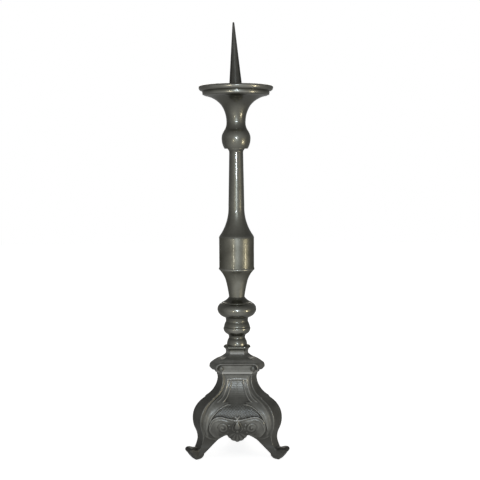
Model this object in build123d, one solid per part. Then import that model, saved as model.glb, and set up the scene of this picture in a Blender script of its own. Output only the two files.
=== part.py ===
from build123d import *
import math
import os

os.makedirs("parts", exist_ok=True)

# Tie rod and its fastenings
ROD_RADIUS = 4.0
ROD_CLEARANCE = 0.3
ROD_TAIL = 5.0
THREAD_CLEARANCE = 0.1
NUT_ACROSS_FLATS = 13.0
NUT_HEIGHT = 6.5
WASHER_RADIUS = 11.0
WASHER_THICKNESS = 2.0
PLATE_THICKNESS = 5.0
PLATE_DROP = 14.0
PLATE_CLEARANCE = 0.15

# Walls and joints of the cast sections
WALL = 2.8
SPIGOT_RADIUS = 6.5
SPIGOT_HEIGHT = 4.0
FIT_CLEARANCE = 0.1
LAP_THICKNESS = 1.8
LAP_HEIGHT = 3.0

# Heights of the sections, from the floor up
BASE_HEIGHT = 106.0
CUSHION_HEIGHT = 30.0
ABACUS_HEIGHT = 7.5
FOOT_BELL_HEIGHT = 10.2
RING_HEIGHT = 21.3
KNOP_LOWER_HEIGHT = 14.6
KNOP_UPPER_HEIGHT = 17.2
BELL_HEIGHT = 38.7
DRUM_HEIGHT = 38.7
SHAFT_HEIGHT = 115.1
BULB_LOWER_HEIGHT = 12.2
TRUMPET_HEIGHT = 56.5
PAN_FLOOR_THICKNESS = 3.2
PRICKET_HEIGHT = 88.8

# Small bell and ring above the base
FOOT_BELL_RADIUS = 13.3
FOOT_BELL_SHOULDER_RADIUS = 11.5
FOOT_BELL_SHOULDER_DROP = 2.7
FOOT_NECK_RADIUS = 10.6
RING_RADIUS = 17.65
RING_GIRTH_RISE = 10.7
RING_FOOT_RADIUS = 12.3
RING_FOOT_RISE = 4.0
RING_SHOULDER_RADIUS = 15.4
RING_SHOULDER_DROP = 3.5

# Flattened knop
KNOP_NECK_RADIUS = 14.5
KNOP_RADIUS = 25.4
KNOP_FOOT_RADIUS = 15.5
KNOP_FOOT_RISE = 5.2
KNOP_SHOULDER_RADIUS = 18.5
KNOP_SHOULDER_DROP = 7.0
KNOP_WEB = 5.0
KNOP_WEB_RADIUS = 12.5

# Bell, drum and shaft
BELL_NECK_RADIUS = 10.2
BELL_MIDDLE_RADIUS = 14.2
BELL_MIDDLE_DROP = 17.5
BELL_RIM_RADIUS = 22.4
BELL_LIP_RADIUS = 23.4
BELL_LIP_HEIGHT = 3.4
BELL_LIP_BEVEL = 0.9
BELL_HOLLOW_RADIUS = 9.5
DRUM_RADIUS = 22.65
SHAFT_FOOT_RADIUS = 22.9
SHAFT_FOOT_BEVEL = 0.5
SHAFT_FOOT_BEVEL_HEIGHT = 2.0
SHAFT_LOWER_RADIUS = 10.35
SHAFT_FLARE_HEIGHT = 41.0
SHAFT_UPPER_RADIUS = 9.05
SHAFT_COLLAR_RADIUS = 11.0
SHAFT_COLLAR_HEIGHT = 0.8
SHAFT_COVE_HEIGHT = 4.1
SHAFT_HOLLOW_HEIGHT = 16.0
SHAFT_HOLLOW_RADIUS = 9.5

# Bulb and trumpet under the pan
BULB_LEDGE_RADIUS = 15.0
BULB_RADIUS = 18.6
BULB_FLOOR = 3.4
BULB_FLOOR_RADIUS = 11.0
BULB_SHOULDER_RADIUS = 15.5
BULB_SHOULDER_RISE = 11.1
BULB_HOLLOW_RISE = 9.5
TRUMPET_NECK_RADIUS = 12.35
TRUMPET_NECK_RISE = 23.0
TRUMPET_THROAT_RADIUS = 18.6
TRUMPET_THROAT_DROP = 13.5
TRUMPET_RIM_RADIUS = 41.0
TRUMPET_MOUTH_RADIUS = 35.0
TRUMPET_MOUTH_WAIST_RADIUS = 17.0
TRUMPET_MOUTH_WAIST_DROP = 9.5
TRUMPET_MOUTH_DEPTH = 21.0
TRUMPET_MOUTH_BOTTOM_RADIUS = 10.0

# Drip pan and pricket
PAN_BAND_RADIUS = 43.0
PAN_RADIUS = 47.9
PAN_BEAD_RADIUS = 3.5
PAN_BEAD_RISE = 8.1
PAN_BEVEL = 3.0
PAN_SEAT_DEPTH = 0.8
PRICKET_ROOT_RADIUS = 8.9
PRICKET_TIP_RADIUS = 1.2
PRICKET_COLLAR_RADIUS = 11.0
PRICKET_COLLAR_HEIGHT = 3.0
PRICKET_THREAD_DEPTH = 14.0
PRICKET_LEAN = 1.8

# Arc heights of the turned curves, from chord to arc
FOOT_BELL_BULGE_DEPTH = 0.5
FOOT_BELL_COVE = 0.2
RING_FOOT_COVE = 0.4
RING_LOWER_BULGE_DEPTH = 1.2
RING_UPPER_BULGE_DEPTH = 0.5
RING_NECK_COVE = 0.15
KNOP_FOOT_COVE = 0.3
KNOP_LOWER_BULGE_DEPTH = 2.1
KNOP_UPPER_BULGE_DEPTH = 2.2
KNOP_NECK_COVE = 0.8
BELL_LOWER_COVE = 0.4
BELL_UPPER_COVE = 1.0
SHAFT_FLARE_COVE = 3.4
SHAFT_TOP_COVE = 0.6
BULB_LOWER_BULGE_DEPTH = 0.8
BULB_UPPER_BULGE_DEPTH = 1.0
TRUMPET_NECK_COVE = 1.1
TRUMPET_LOWER_COVE = 1.5
TRUMPET_UPPER_COVE = 2.7

# Three-sided base: distances of the panel face and of the leg face from the stem axis
WAIST_DROP = 4.0
LEG_KNEE_DROP = 26.7
PANEL_KNEE_DROP = 28.0
KNEE_STEP_HEIGHT = 2.3
BELLY_FOOT_HEIGHT = 36.0
ANKLE_FOOT_HEIGHT = 15.3
PANEL_TOP_DISTANCE = 18.7
PANEL_WAIST_DISTANCE = 18.35
PANEL_KNEE_DISTANCE = 28.8
PANEL_BELLY_FOOT_DISTANCE = 36.5
PANEL_ANKLE_FOOT_DISTANCE = 36.0
PANEL_FLOOR_DISTANCE = 38.0
PANEL_WAIST_COVE = 2.6
PANEL_BELLY_BULGE_DEPTH = 6.2
PANEL_ANKLE_COVE = 1.5
PANEL_WALL = 3.0
PANEL_WALL_DROP = 1.5
LEG_TOP_DISTANCE = 26.4
LEG_WAIST_DISTANCE = 25.6
LEG_KNEE_DISTANCE = 41.3
LEG_KNEE_STEP = 1.8
LEG_BELLY_FOOT_DISTANCE = 57.0
LEG_WAIST_COVE = 4.8
LEG_BELLY_BULGE_DEPTH = 9.0
LEG_ANKLE_COVE = 2.8
LEG_DEPTH = 6.0
LEG_DROP = 4.0
LEG_WAIST_HALF_WIDTH = 7.2
LEG_BELLY_HALF_WIDTH = 11.6
LEG_BELLY_HEIGHT = 54.0
LEG_ANKLE_HALF_WIDTH = 8.2
LEG_ANKLE_HEIGHT = 24.0
LEG_FLOOR_HALF_WIDTH = 7.4

# Scroll toes
TOE_CREASE_STEP = 2.3
TOE_CREASE_HEIGHT = 13.6
TOE_TOP_REACH = 11.1
TOE_TOP_HEIGHT = 16.2
TOE_NOSE_REACH = 1.5
TOE_NOSE_HEIGHT = 9.0
TOE_NOSE_BULGE_DEPTH = 3.0
TOE_PAD_REACH = 3.8
TOE_PAD_SETBACK = 9.5
TOE_HEEL_REACH = 5.9
TOE_HEEL_HEIGHT = 5.0
TOE_HEEL_BULGE_DEPTH = 0.9

# Apron of each panel
APRON_FOOT_HALF_WIDTH = 47.0
APRON_FOOT_HEIGHT = 4.0
APRON_CROWN_HALF_WIDTH = 13.5
APRON_CROWN_HEIGHT = 31.4
APRON_ARCH_RISE = 3.5
SHELL_DEPTH = 8.0

# Relief on each panel
FIELD_TOP_HALF_WIDTH = 12.8
FIELD_TOP_DROP = 4.5
FIELD_NECK_HALF_WIDTH = 13.6
FIELD_NECK_HEIGHT = 84.0
FIELD_FOOT_HALF_WIDTH = 42.0
FIELD_FOOT_HEIGHT = 56.0
FIELD_FLARE_COVE = 5.0
FIELD_BORDER = 1.8
FIELD_BORDER_RISE = 0.8
LEAF_CROWN_HEIGHT = 53.0
LEAF_PEAK_HALF_WIDTH = 23.0
LEAF_PEAK_HEIGHT = 57.0
LEAF_END_HALF_WIDTH = 40.0
LEAF_END_HEIGHT = 48.0
LEAF_INNER_SAG = 2.6
LEAF_OUTER_BULGE_DEPTH = 2.6
LEAF_RISE = 0.9
VOLUTE_OFFSET = 19.4
VOLUTE_HEIGHT = 43.5
VOLUTE_RADIUS = 6.2
VOLUTE_EYE_RADIUS = 2.6
VOLUTE_GROOVE = 1.6
VOLUTE_RISE = 2.0
DROP_HEIGHT = 44.5
DROP_HALF_WIDTH = 4.6
DROP_HALF_HEIGHT = 7.5
DROP_RISE = 2.6
SHELL_TOP_HEIGHT = 36.5
SHELL_RISE = 2.2

# Cushion stage and its cap
CUSHION_FOOT_FILLET = 1.5
CUSHION_COVE_HEIGHT = 7.5
CUSHION_EDGE_HEIGHT = 12.8
CUSHION_SHOULDER_HEIGHT = 17.8
CUSHION_SLOPE_HEIGHT = 22.2
CUSHION_NECK_HEIGHT = 27.0
CUSHION_COVE = 0.6
CUSHION_BULGE_DEPTH = 0.9
CUSHION_SLOPE_BULGE_DEPTH = 0.4
CUSHION_NECK_COVE = 0.6
CUSHION_FACE_FOOT = 19.4
CUSHION_FACE_COVE = 23.4
CUSHION_FACE_EDGE = 25.4
CUSHION_FACE_SHOULDER = 23.4
CUSHION_FACE_SLOPE = 17.4
CUSHION_FACE_NECK = 11.8
CUSHION_CORNER_FOOT = 27.0
CUSHION_CORNER_COVE = 33.0
CUSHION_CORNER_EDGE = 36.2
CUSHION_CORNER_SHOULDER = 33.0
CUSHION_CORNER_SLOPE = 22.6
CUSHION_CORNER_NECK = 13.8
CUSHION_HOLLOW_RADIUS = 15.5
CUSHION_HOLLOW_HEIGHT = 19.0
TABLET_HALF_WIDTH = 23.5
TABLET_BOTTOM = 4.0
TABLET_TOP = 15.5
TABLET_CORNER = 4.0
TABLET_RISE = 0.8
TABLET_EYE_OFFSET = 20.6
TABLET_EYE_HEIGHT = 9.0
TABLET_EYE_RADIUS = 3.4
TABLET_EYE_RISE = 1.8
ABACUS_COVE_HEIGHT = 3.9
ABACUS_FILLET_HEIGHT = 2.0
ABACUS_COVE = 0.5
ABACUS_BEVEL = 1.2
ABACUS_FILLET = 0.5
ABACUS_FACE = 13.9
ABACUS_CORNER = 16.8

# Levels that follow from the stacked heights
CUSHION_TOP = BASE_HEIGHT + CUSHION_HEIGHT
ABACUS_TOP = CUSHION_TOP + ABACUS_HEIGHT
FOOT_BELL_TOP = ABACUS_TOP + FOOT_BELL_HEIGHT
RING_TOP = FOOT_BELL_TOP + RING_HEIGHT
KNOP_GIRTH = RING_TOP + KNOP_LOWER_HEIGHT
KNOP_TOP = KNOP_GIRTH + KNOP_UPPER_HEIGHT
BELL_TOP = KNOP_TOP + BELL_HEIGHT
DRUM_TOP = BELL_TOP + DRUM_HEIGHT
SHAFT_TOP = DRUM_TOP + SHAFT_HEIGHT
BULB_GIRTH = SHAFT_TOP + BULB_LOWER_HEIGHT
PAN_BOTTOM = BULB_GIRTH + TRUMPET_HEIGHT
PAN_FLOOR = PAN_BOTTOM + PAN_FLOOR_THICKNESS
PAN_SEAT = PAN_FLOOR - PAN_SEAT_DEPTH
PLATE_TOP = BASE_HEIGHT - PLATE_DROP
PLATE_BOTTOM = PLATE_TOP - PLATE_THICKNESS
WASHER_BOTTOM = PLATE_BOTTOM - WASHER_THICKNESS
NUT_BOTTOM = WASHER_BOTTOM - NUT_HEIGHT
ROD_BOTTOM = NUT_BOTTOM - ROD_TAIL
ROD_TOP = PAN_FLOOR + PRICKET_THREAD_DEPTH - FIT_CLEARANCE

# Radii that follow from the fits
ROD_HOLE_RADIUS = ROD_RADIUS + ROD_CLEARANCE
THREAD_RADIUS = ROD_RADIUS + THREAD_CLEARANCE
SOCKET_RADIUS = SPIGOT_RADIUS + FIT_CLEARANCE
DRUM_BORE_RADIUS = DRUM_RADIUS - WALL
KNOP_BORE_RADIUS = KNOP_RADIUS - WALL
BULB_BORE_RADIUS = BULB_RADIUS - WALL

# Directions of the three panels and the three legs, front panel first
SIDES = 3
THIRD_TURN = 360 / SIDES
HALF_CORNER = THIRD_TURN / 2
FRONT_TURN = -90
PANEL_TURNS = {"front": FRONT_TURN, "right": FRONT_TURN + THIRD_TURN, "left": FRONT_TURN + 2 * THIRD_TURN}
LEG_TURNS = {side: turn + HALF_CORNER for side, turn in zip(("right", "rear", "left"), PANEL_TURNS.values())}

# Toe places that follow from the leg's ankle, and a length past the whole base
TOE_CREASE_DISTANCE = LEG_BELLY_FOOT_DISTANCE + TOE_CREASE_STEP
TOE_TOP_DISTANCE = TOE_CREASE_DISTANCE + TOE_TOP_REACH
TOE_NOSE_DISTANCE = TOE_TOP_DISTANCE + TOE_NOSE_REACH
TOE_PAD_INNER_DISTANCE = LEG_BELLY_FOOT_DISTANCE - LEG_DEPTH + TOE_PAD_SETBACK
TOE_PAD_OUTER_DISTANCE = TOE_PAD_INNER_DISTANCE + TOE_PAD_REACH
REACH = 2 * (TOE_NOSE_DISTANCE + TOE_NOSE_BULGE_DEPTH)
STANDING = (Align.CENTER, Align.CENTER, Align.MIN)


def outline(start, *steps):
    """Closed face; a step is the end of a line (u, v) or of an arc (u, v, height to the left of the way)."""
    edges = []
    here = start
    for step in steps:
        there = step[:2]
        if len(step) == 2:
            edges.append(Line(here, there))
        else:
            edges.append(SagittaArc(here, there, step[2]))
        here = there
    edges.append(Line(here, start))
    return make_face(edges)


def turned(start, *steps):
    """Solid of revolution about the stem axis from an outline of radius and height."""
    return revolve(Plane.XZ * outline(start, *steps), Axis.Z)


def column(radius, bottom, top):
    """Upright cylinder on the stem axis between two heights."""
    return Pos(0, 0, bottom) * Cylinder(radius, top - bottom, align=STANDING)


def tube(outer, inner, bottom, top):
    """Upright ring on the stem axis between two heights."""
    return column(outer, bottom, top) - column(inner, bottom, top)


def rod_hole(bottom, top):
    """Clearance hole for the tie rod."""
    return column(ROD_HOLE_RADIUS, bottom, top)


def spigot(level):
    """Short round tenon that stands on a section's top face."""
    return column(SPIGOT_RADIUS, level, level + SPIGOT_HEIGHT)


def socket(level):
    """Recess in a section's bottom face for the spigot below it."""
    return column(SOCKET_RADIUS, level, level + SPIGOT_HEIGHT + FIT_CLEARANCE)


def lap_ring(bore, bottom, top):
    """Thin ring that laps into a neighbour's bore."""
    outer = bore - FIT_CLEARANCE
    return tube(outer, outer - LAP_THICKNESS, bottom, top)


def upright(face):
    """Prism across the radial plane, as wide as the base, from a face of distance and height."""
    return extrude(Plane.XZ * face, amount=REACH, both=True)


def outward(face):
    """Prism along the radial direction from a face of sideways offset and height."""
    return extrude(Plane.YZ * face, amount=REACH)


def six_sided(face_profile, corner_profile):
    """Body bounded by three main faces and three corner faces around the stem axis."""
    body = upright(face_profile)
    for turn in (THIRD_TURN, -THIRD_TURN):
        body = body & Rot(0, 0, turn) * upright(face_profile)
    for turn in (HALF_CORNER, -HALF_CORNER, 3 * HALF_CORNER):
        body = body & Rot(0, 0, turn) * upright(corner_profile)
    return body


def make_foot_bell():
    """Small ogee bell between the cap of the base and the ring."""
    shoulder = FOOT_BELL_TOP - FOOT_BELL_SHOULDER_DROP
    body = turned(
        (0, ABACUS_TOP),
        (FOOT_BELL_RADIUS, ABACUS_TOP),
        (FOOT_BELL_SHOULDER_RADIUS, shoulder, -FOOT_BELL_BULGE_DEPTH),
        (FOOT_NECK_RADIUS, FOOT_BELL_TOP, FOOT_BELL_COVE),
        (0, FOOT_BELL_TOP),
    )
    hole = rod_hole(ABACUS_TOP, FOOT_BELL_TOP + SPIGOT_HEIGHT)
    return body + spigot(FOOT_BELL_TOP) - socket(ABACUS_TOP) - hole


def make_ring_knop():
    """Small ring with its necks."""
    girth = FOOT_BELL_TOP + RING_GIRTH_RISE
    body = turned(
        (0, FOOT_BELL_TOP),
        (FOOT_NECK_RADIUS, FOOT_BELL_TOP),
        (RING_FOOT_RADIUS, FOOT_BELL_TOP + RING_FOOT_RISE, RING_FOOT_COVE),
        (RING_RADIUS, girth, -RING_LOWER_BULGE_DEPTH),
        (RING_SHOULDER_RADIUS, RING_TOP - RING_SHOULDER_DROP, -RING_UPPER_BULGE_DEPTH),
        (KNOP_NECK_RADIUS, RING_TOP, RING_NECK_COVE),
        (0, RING_TOP),
    )
    hole = rod_hole(FOOT_BELL_TOP, RING_TOP + SPIGOT_HEIGHT)
    return body + spigot(RING_TOP) - socket(FOOT_BELL_TOP) - hole


def make_knop_lower():
    """Lower half of the flattened knop, a hollow cup."""
    body = turned(
        (0, RING_TOP),
        (KNOP_NECK_RADIUS, RING_TOP),
        (KNOP_FOOT_RADIUS, RING_TOP + KNOP_FOOT_RISE, KNOP_FOOT_COVE),
        (KNOP_RADIUS, KNOP_GIRTH, -KNOP_LOWER_BULGE_DEPTH),
        (0, KNOP_GIRTH),
    )
    hollow = turned(
        (0, RING_TOP + KNOP_WEB),
        (KNOP_WEB_RADIUS, RING_TOP + KNOP_WEB),
        (KNOP_BORE_RADIUS, KNOP_GIRTH - LAP_HEIGHT),
        (KNOP_BORE_RADIUS, KNOP_GIRTH),
        (0, KNOP_GIRTH),
    )
    return body - hollow - socket(RING_TOP) - rod_hole(RING_TOP, KNOP_GIRTH)


def make_knop_upper():
    """Upper half of the flattened knop, with the lap ring that centres it on the lower half."""
    body = turned(
        (0, KNOP_GIRTH),
        (KNOP_RADIUS, KNOP_GIRTH),
        (KNOP_SHOULDER_RADIUS, KNOP_TOP - KNOP_SHOULDER_DROP, -KNOP_UPPER_BULGE_DEPTH),
        (BELL_NECK_RADIUS, KNOP_TOP, KNOP_NECK_COVE),
        (0, KNOP_TOP),
    )
    mouth = KNOP_BORE_RADIUS - FIT_CLEARANCE - LAP_THICKNESS
    hollow = turned(
        (0, KNOP_GIRTH),
        (mouth, KNOP_GIRTH),
        (KNOP_WEB_RADIUS, KNOP_TOP - KNOP_SHOULDER_DROP),
        (0, KNOP_TOP - KNOP_SHOULDER_DROP),
    )
    lap = lap_ring(KNOP_BORE_RADIUS, KNOP_GIRTH - LAP_HEIGHT, KNOP_GIRTH)
    hole = rod_hole(KNOP_GIRTH, KNOP_TOP + SPIGOT_HEIGHT)
    return body - hollow + lap + spigot(KNOP_TOP) - hole


def make_vase_bell():
    """Trumpet-shaped bell that carries the drum on its lip."""
    lip_bottom = BELL_TOP - BELL_LIP_HEIGHT
    middle = BELL_TOP - BELL_MIDDLE_DROP
    body = turned(
        (0, KNOP_TOP),
        (BELL_NECK_RADIUS, KNOP_TOP),
        (BELL_MIDDLE_RADIUS, middle, BELL_LOWER_COVE),
        (BELL_RIM_RADIUS, lip_bottom, BELL_UPPER_COVE),
        (BELL_LIP_RADIUS, lip_bottom + BELL_LIP_BEVEL),
        (BELL_LIP_RADIUS, BELL_TOP - BELL_LIP_BEVEL),
        (DRUM_RADIUS, BELL_TOP),
        (0, BELL_TOP),
    )
    mouth = DRUM_BORE_RADIUS - FIT_CLEARANCE - LAP_THICKNESS
    hollow = turned(
        (0, middle),
        (BELL_HOLLOW_RADIUS, middle),
        (mouth, BELL_TOP),
        (0, BELL_TOP),
    )
    lap = lap_ring(DRUM_BORE_RADIUS, BELL_TOP, BELL_TOP + LAP_HEIGHT)
    return body - hollow + lap - socket(KNOP_TOP) - rod_hole(KNOP_TOP, BELL_TOP)


def make_drum():
    """Plain drum of the vase, a tube."""
    return tube(DRUM_RADIUS, DRUM_BORE_RADIUS, BELL_TOP, DRUM_TOP)


def make_shaft():
    """Slender shaft that flares down to the drum and ends in a cove under the bulb."""
    flare_top = DRUM_TOP + SHAFT_FLARE_HEIGHT
    collar_bottom = SHAFT_TOP - SHAFT_COLLAR_HEIGHT
    body = turned(
        (0, DRUM_TOP),
        (SHAFT_FOOT_RADIUS, DRUM_TOP),
        (SHAFT_FOOT_RADIUS - SHAFT_FOOT_BEVEL, DRUM_TOP + SHAFT_FOOT_BEVEL_HEIGHT),
        (SHAFT_LOWER_RADIUS, flare_top, SHAFT_FLARE_COVE),
        (SHAFT_UPPER_RADIUS, collar_bottom - SHAFT_COVE_HEIGHT),
        (SHAFT_COLLAR_RADIUS, collar_bottom, SHAFT_TOP_COVE),
        (SHAFT_COLLAR_RADIUS, SHAFT_TOP),
        (0, SHAFT_TOP),
    )
    mouth = DRUM_BORE_RADIUS - FIT_CLEARANCE - LAP_THICKNESS
    hollow = turned(
        (0, DRUM_TOP),
        (mouth, DRUM_TOP),
        (SHAFT_HOLLOW_RADIUS, DRUM_TOP + SHAFT_HOLLOW_HEIGHT),
        (0, DRUM_TOP + SHAFT_HOLLOW_HEIGHT),
    )
    lap = lap_ring(DRUM_BORE_RADIUS, DRUM_TOP - LAP_HEIGHT, DRUM_TOP)
    hole = rod_hole(DRUM_TOP, SHAFT_TOP + SPIGOT_HEIGHT)
    return body - hollow + lap + spigot(SHAFT_TOP) - hole


def make_bulb_cup():
    """Lower half of the bulb, a cup whose floor takes the shaft's spigot."""
    body = turned(
        (0, SHAFT_TOP),
        (BULB_LEDGE_RADIUS, SHAFT_TOP),
        (BULB_RADIUS, BULB_GIRTH, -BULB_LOWER_BULGE_DEPTH),
        (0, BULB_GIRTH),
    )
    hollow = turned(
        (0, SHAFT_TOP + BULB_FLOOR),
        (BULB_FLOOR_RADIUS, SHAFT_TOP + BULB_FLOOR),
        (BULB_BORE_RADIUS, BULB_GIRTH - LAP_HEIGHT),
        (BULB_BORE_RADIUS, BULB_GIRTH),
        (0, BULB_GIRTH),
    )
    return body - hollow - socket(SHAFT_TOP)


def make_pan_trumpet():
    """Upper half of the bulb with the neck and trumpet that carry the pan."""
    throat = PAN_BOTTOM - TRUMPET_THROAT_DROP
    neck = BULB_GIRTH + TRUMPET_NECK_RISE
    body = turned(
        (0, BULB_GIRTH),
        (BULB_RADIUS, BULB_GIRTH),
        (BULB_SHOULDER_RADIUS, BULB_GIRTH + BULB_SHOULDER_RISE, -BULB_UPPER_BULGE_DEPTH),
        (TRUMPET_NECK_RADIUS, neck, TRUMPET_NECK_COVE),
        (TRUMPET_THROAT_RADIUS, throat, TRUMPET_LOWER_COVE),
        (TRUMPET_RIM_RADIUS, PAN_BOTTOM, TRUMPET_UPPER_COVE),
        (0, PAN_BOTTOM),
    )
    bulb_mouth = BULB_BORE_RADIUS - FIT_CLEARANCE - LAP_THICKNESS
    bulb_hollow = turned(
        (0, BULB_GIRTH),
        (bulb_mouth, BULB_GIRTH),
        (BULB_FLOOR_RADIUS, BULB_GIRTH + BULB_HOLLOW_RISE),
        (0, BULB_GIRTH + BULB_HOLLOW_RISE),
    )
    mouth = turned(
        (0, PAN_BOTTOM - TRUMPET_MOUTH_DEPTH),
        (TRUMPET_MOUTH_BOTTOM_RADIUS, PAN_BOTTOM - TRUMPET_MOUTH_DEPTH),
        (TRUMPET_MOUTH_WAIST_RADIUS, PAN_BOTTOM - TRUMPET_MOUTH_WAIST_DROP),
        (TRUMPET_MOUTH_RADIUS, PAN_BOTTOM),
        (0, PAN_BOTTOM),
    )
    lap = lap_ring(BULB_BORE_RADIUS, BULB_GIRTH - LAP_HEIGHT, BULB_GIRTH)
    return body - bulb_hollow - mouth + lap - rod_hole(BULB_GIRTH, PAN_BOTTOM)


def make_drip_pan():
    """Shallow dish with a round bead at its rim and a sunk seat for the spike's collar."""
    bead_level = PAN_BOTTOM + PAN_BEAD_RISE
    bead_circle = PAN_RADIUS - PAN_BEAD_RADIUS
    inner = PAN_BAND_RADIUS - WALL
    dish = turned(
        (0, PAN_BOTTOM),
        (PAN_BAND_RADIUS, PAN_BOTTOM),
        (PAN_BAND_RADIUS, bead_level),
        (inner, bead_level),
        (inner, PAN_FLOOR + PAN_BEVEL),
        (inner - PAN_BEVEL, PAN_FLOOR),
        (0, PAN_FLOOR),
    )
    bead = Pos(0, 0, bead_level) * Torus(bead_circle, PAN_BEAD_RADIUS)
    seat = column(PRICKET_COLLAR_RADIUS + FIT_CLEARANCE, PAN_SEAT, PAN_FLOOR)
    return dish + bead - seat - rod_hole(PAN_BOTTOM, PAN_FLOOR)


def make_pricket():
    """Tapered spike on a collar, screwed on the rod's end; it leans a little to the left."""
    spike = turned(
        (0, 0),
        (PRICKET_ROOT_RADIUS, 0),
        (PRICKET_TIP_RADIUS, PRICKET_HEIGHT - PRICKET_TIP_RADIUS),
        (0, PRICKET_HEIGHT, -PRICKET_TIP_RADIUS * (1 - math.sqrt(0.5))),
    )
    leaning = Pos(0, 0, PAN_FLOOR) * Rot(0, -PRICKET_LEAN, 0) * spike
    above_floor = column(REACH, PAN_FLOOR, PAN_FLOOR + 2 * PRICKET_HEIGHT)
    collar = column(PRICKET_COLLAR_RADIUS, PAN_SEAT, PAN_SEAT + PRICKET_COLLAR_HEIGHT)
    thread = column(THREAD_RADIUS, PAN_SEAT, PAN_FLOOR + PRICKET_THREAD_DEPTH)
    return (leaning & above_floor) + collar - thread


def panel_region(inset, drop):
    """Region behind a panel's S-curve, moved in and down for the inside of the wall."""
    knee = BASE_HEIGHT - PANEL_KNEE_DROP - drop
    return outline(
        (-REACH, 0),
        (PANEL_FLOOR_DISTANCE - inset, 0),
        (PANEL_ANKLE_FOOT_DISTANCE - inset, ANKLE_FOOT_HEIGHT - drop),
        (PANEL_BELLY_FOOT_DISTANCE - inset, BELLY_FOOT_HEIGHT - drop, PANEL_ANKLE_COVE),
        (PANEL_KNEE_DISTANCE - inset, knee, -PANEL_BELLY_BULGE_DEPTH),
        (PANEL_WAIST_DISTANCE - inset, BASE_HEIGHT - WAIST_DROP - drop, PANEL_WAIST_COVE),
        (PANEL_TOP_DISTANCE - inset, BASE_HEIGHT),
        (-REACH, BASE_HEIGHT),
    )


def leg_outer_region():
    """Region behind a leg's outer S-curve and scroll toe."""
    knee = BASE_HEIGHT - LEG_KNEE_DROP
    return outline(
        (-REACH, 0),
        (TOE_PAD_OUTER_DISTANCE, 0),
        (TOE_NOSE_DISTANCE, TOE_NOSE_HEIGHT),
        (TOE_TOP_DISTANCE, TOE_TOP_HEIGHT, -TOE_NOSE_BULGE_DEPTH),
        (TOE_CREASE_DISTANCE, TOE_CREASE_HEIGHT),
        (LEG_BELLY_FOOT_DISTANCE, BELLY_FOOT_HEIGHT, LEG_ANKLE_COVE),
        (LEG_KNEE_DISTANCE + LEG_KNEE_STEP, knee - KNEE_STEP_HEIGHT, -LEG_BELLY_BULGE_DEPTH),
        (LEG_KNEE_DISTANCE, knee),
        (LEG_WAIST_DISTANCE, BASE_HEIGHT - WAIST_DROP, LEG_WAIST_COVE),
        (LEG_TOP_DISTANCE, BASE_HEIGHT),
        (-REACH, BASE_HEIGHT),
    )


def leg_inner_region(clearance=0.0):
    """Region behind a leg's inner side, with room for a piece inside the base."""
    inset = LEG_DEPTH + clearance
    knee = BASE_HEIGHT - LEG_KNEE_DROP - LEG_DROP
    return outline(
        (-REACH, 0),
        (TOE_PAD_INNER_DISTANCE - clearance, 0),
        (TOE_PAD_INNER_DISTANCE - TOE_HEEL_REACH - clearance, TOE_HEEL_HEIGHT, TOE_HEEL_BULGE_DEPTH),
        (LEG_BELLY_FOOT_DISTANCE - inset, BELLY_FOOT_HEIGHT - LEG_DROP),
        (LEG_KNEE_DISTANCE + LEG_KNEE_STEP - inset, knee - KNEE_STEP_HEIGHT, -LEG_BELLY_BULGE_DEPTH),
        (LEG_KNEE_DISTANCE - inset, knee),
        (LEG_WAIST_DISTANCE - inset, BASE_HEIGHT - WAIST_DROP - LEG_DROP, LEG_WAIST_COVE),
        (LEG_WAIST_DISTANCE - inset, BASE_HEIGHT),
        (-REACH, BASE_HEIGHT),
    )


def leg_width():
    """Front outline of a leg: waisted at the top, widest at the belly, narrow at the ankle."""
    sides = []
    for side in (1, -1):
        sides.append(
            Spline(
                (side * LEG_WAIST_HALF_WIDTH, BASE_HEIGHT),
                (side * LEG_WAIST_HALF_WIDTH, BASE_HEIGHT - WAIST_DROP),
                (side * LEG_BELLY_HALF_WIDTH, LEG_BELLY_HEIGHT),
                (side * LEG_ANKLE_HALF_WIDTH, LEG_ANKLE_HEIGHT),
                (side * LEG_FLOOR_HALF_WIDTH, 0),
            )
        )
    top = Line((-LEG_WAIST_HALF_WIDTH, BASE_HEIGHT), (LEG_WAIST_HALF_WIDTH, BASE_HEIGHT))
    floor = Line((-LEG_FLOOR_HALF_WIDTH, 0), (LEG_FLOOR_HALF_WIDTH, 0))
    return make_face(sides + [top, floor])


def make_leg():
    """Corner leg, drawn along +X: its side view and its front outline meet."""
    return upright(leg_outer_region() - leg_inner_region()) & outward(leg_width())


def panel_outline():
    """Front outline of a panel: straight above, arched below, with the shell hanging in the middle."""
    return outline(
        (-REACH, BASE_HEIGHT),
        (REACH, BASE_HEIGHT),
        (REACH, APRON_FOOT_HEIGHT),
        (APRON_FOOT_HALF_WIDTH, APRON_FOOT_HEIGHT),
        (APRON_CROWN_HALF_WIDTH, APRON_CROWN_HEIGHT, -APRON_ARCH_RISE),
        (-APRON_CROWN_HALF_WIDTH, APRON_CROWN_HEIGHT, SHELL_DEPTH),
        (-APRON_FOOT_HALF_WIDTH, APRON_FOOT_HEIGHT, -APRON_ARCH_RISE),
        (-REACH, APRON_FOOT_HEIGHT),
    )


def field_face(inset):
    """Bell-shaped field on a panel, drawn in by the width of its border."""
    top = BASE_HEIGHT - FIELD_TOP_DROP - inset
    foot = FIELD_FOOT_HEIGHT + inset
    return outline(
        (-FIELD_TOP_HALF_WIDTH + inset, top),
        (FIELD_TOP_HALF_WIDTH - inset, top),
        (FIELD_NECK_HALF_WIDTH - inset, FIELD_NECK_HEIGHT),
        (FIELD_FOOT_HALF_WIDTH - 2 * inset, foot, -FIELD_FLARE_COVE),
        (-FIELD_FOOT_HALF_WIDTH + 2 * inset, foot),
        (-FIELD_NECK_HALF_WIDTH + inset, FIELD_NECK_HEIGHT, -FIELD_FLARE_COVE),
    )


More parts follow.
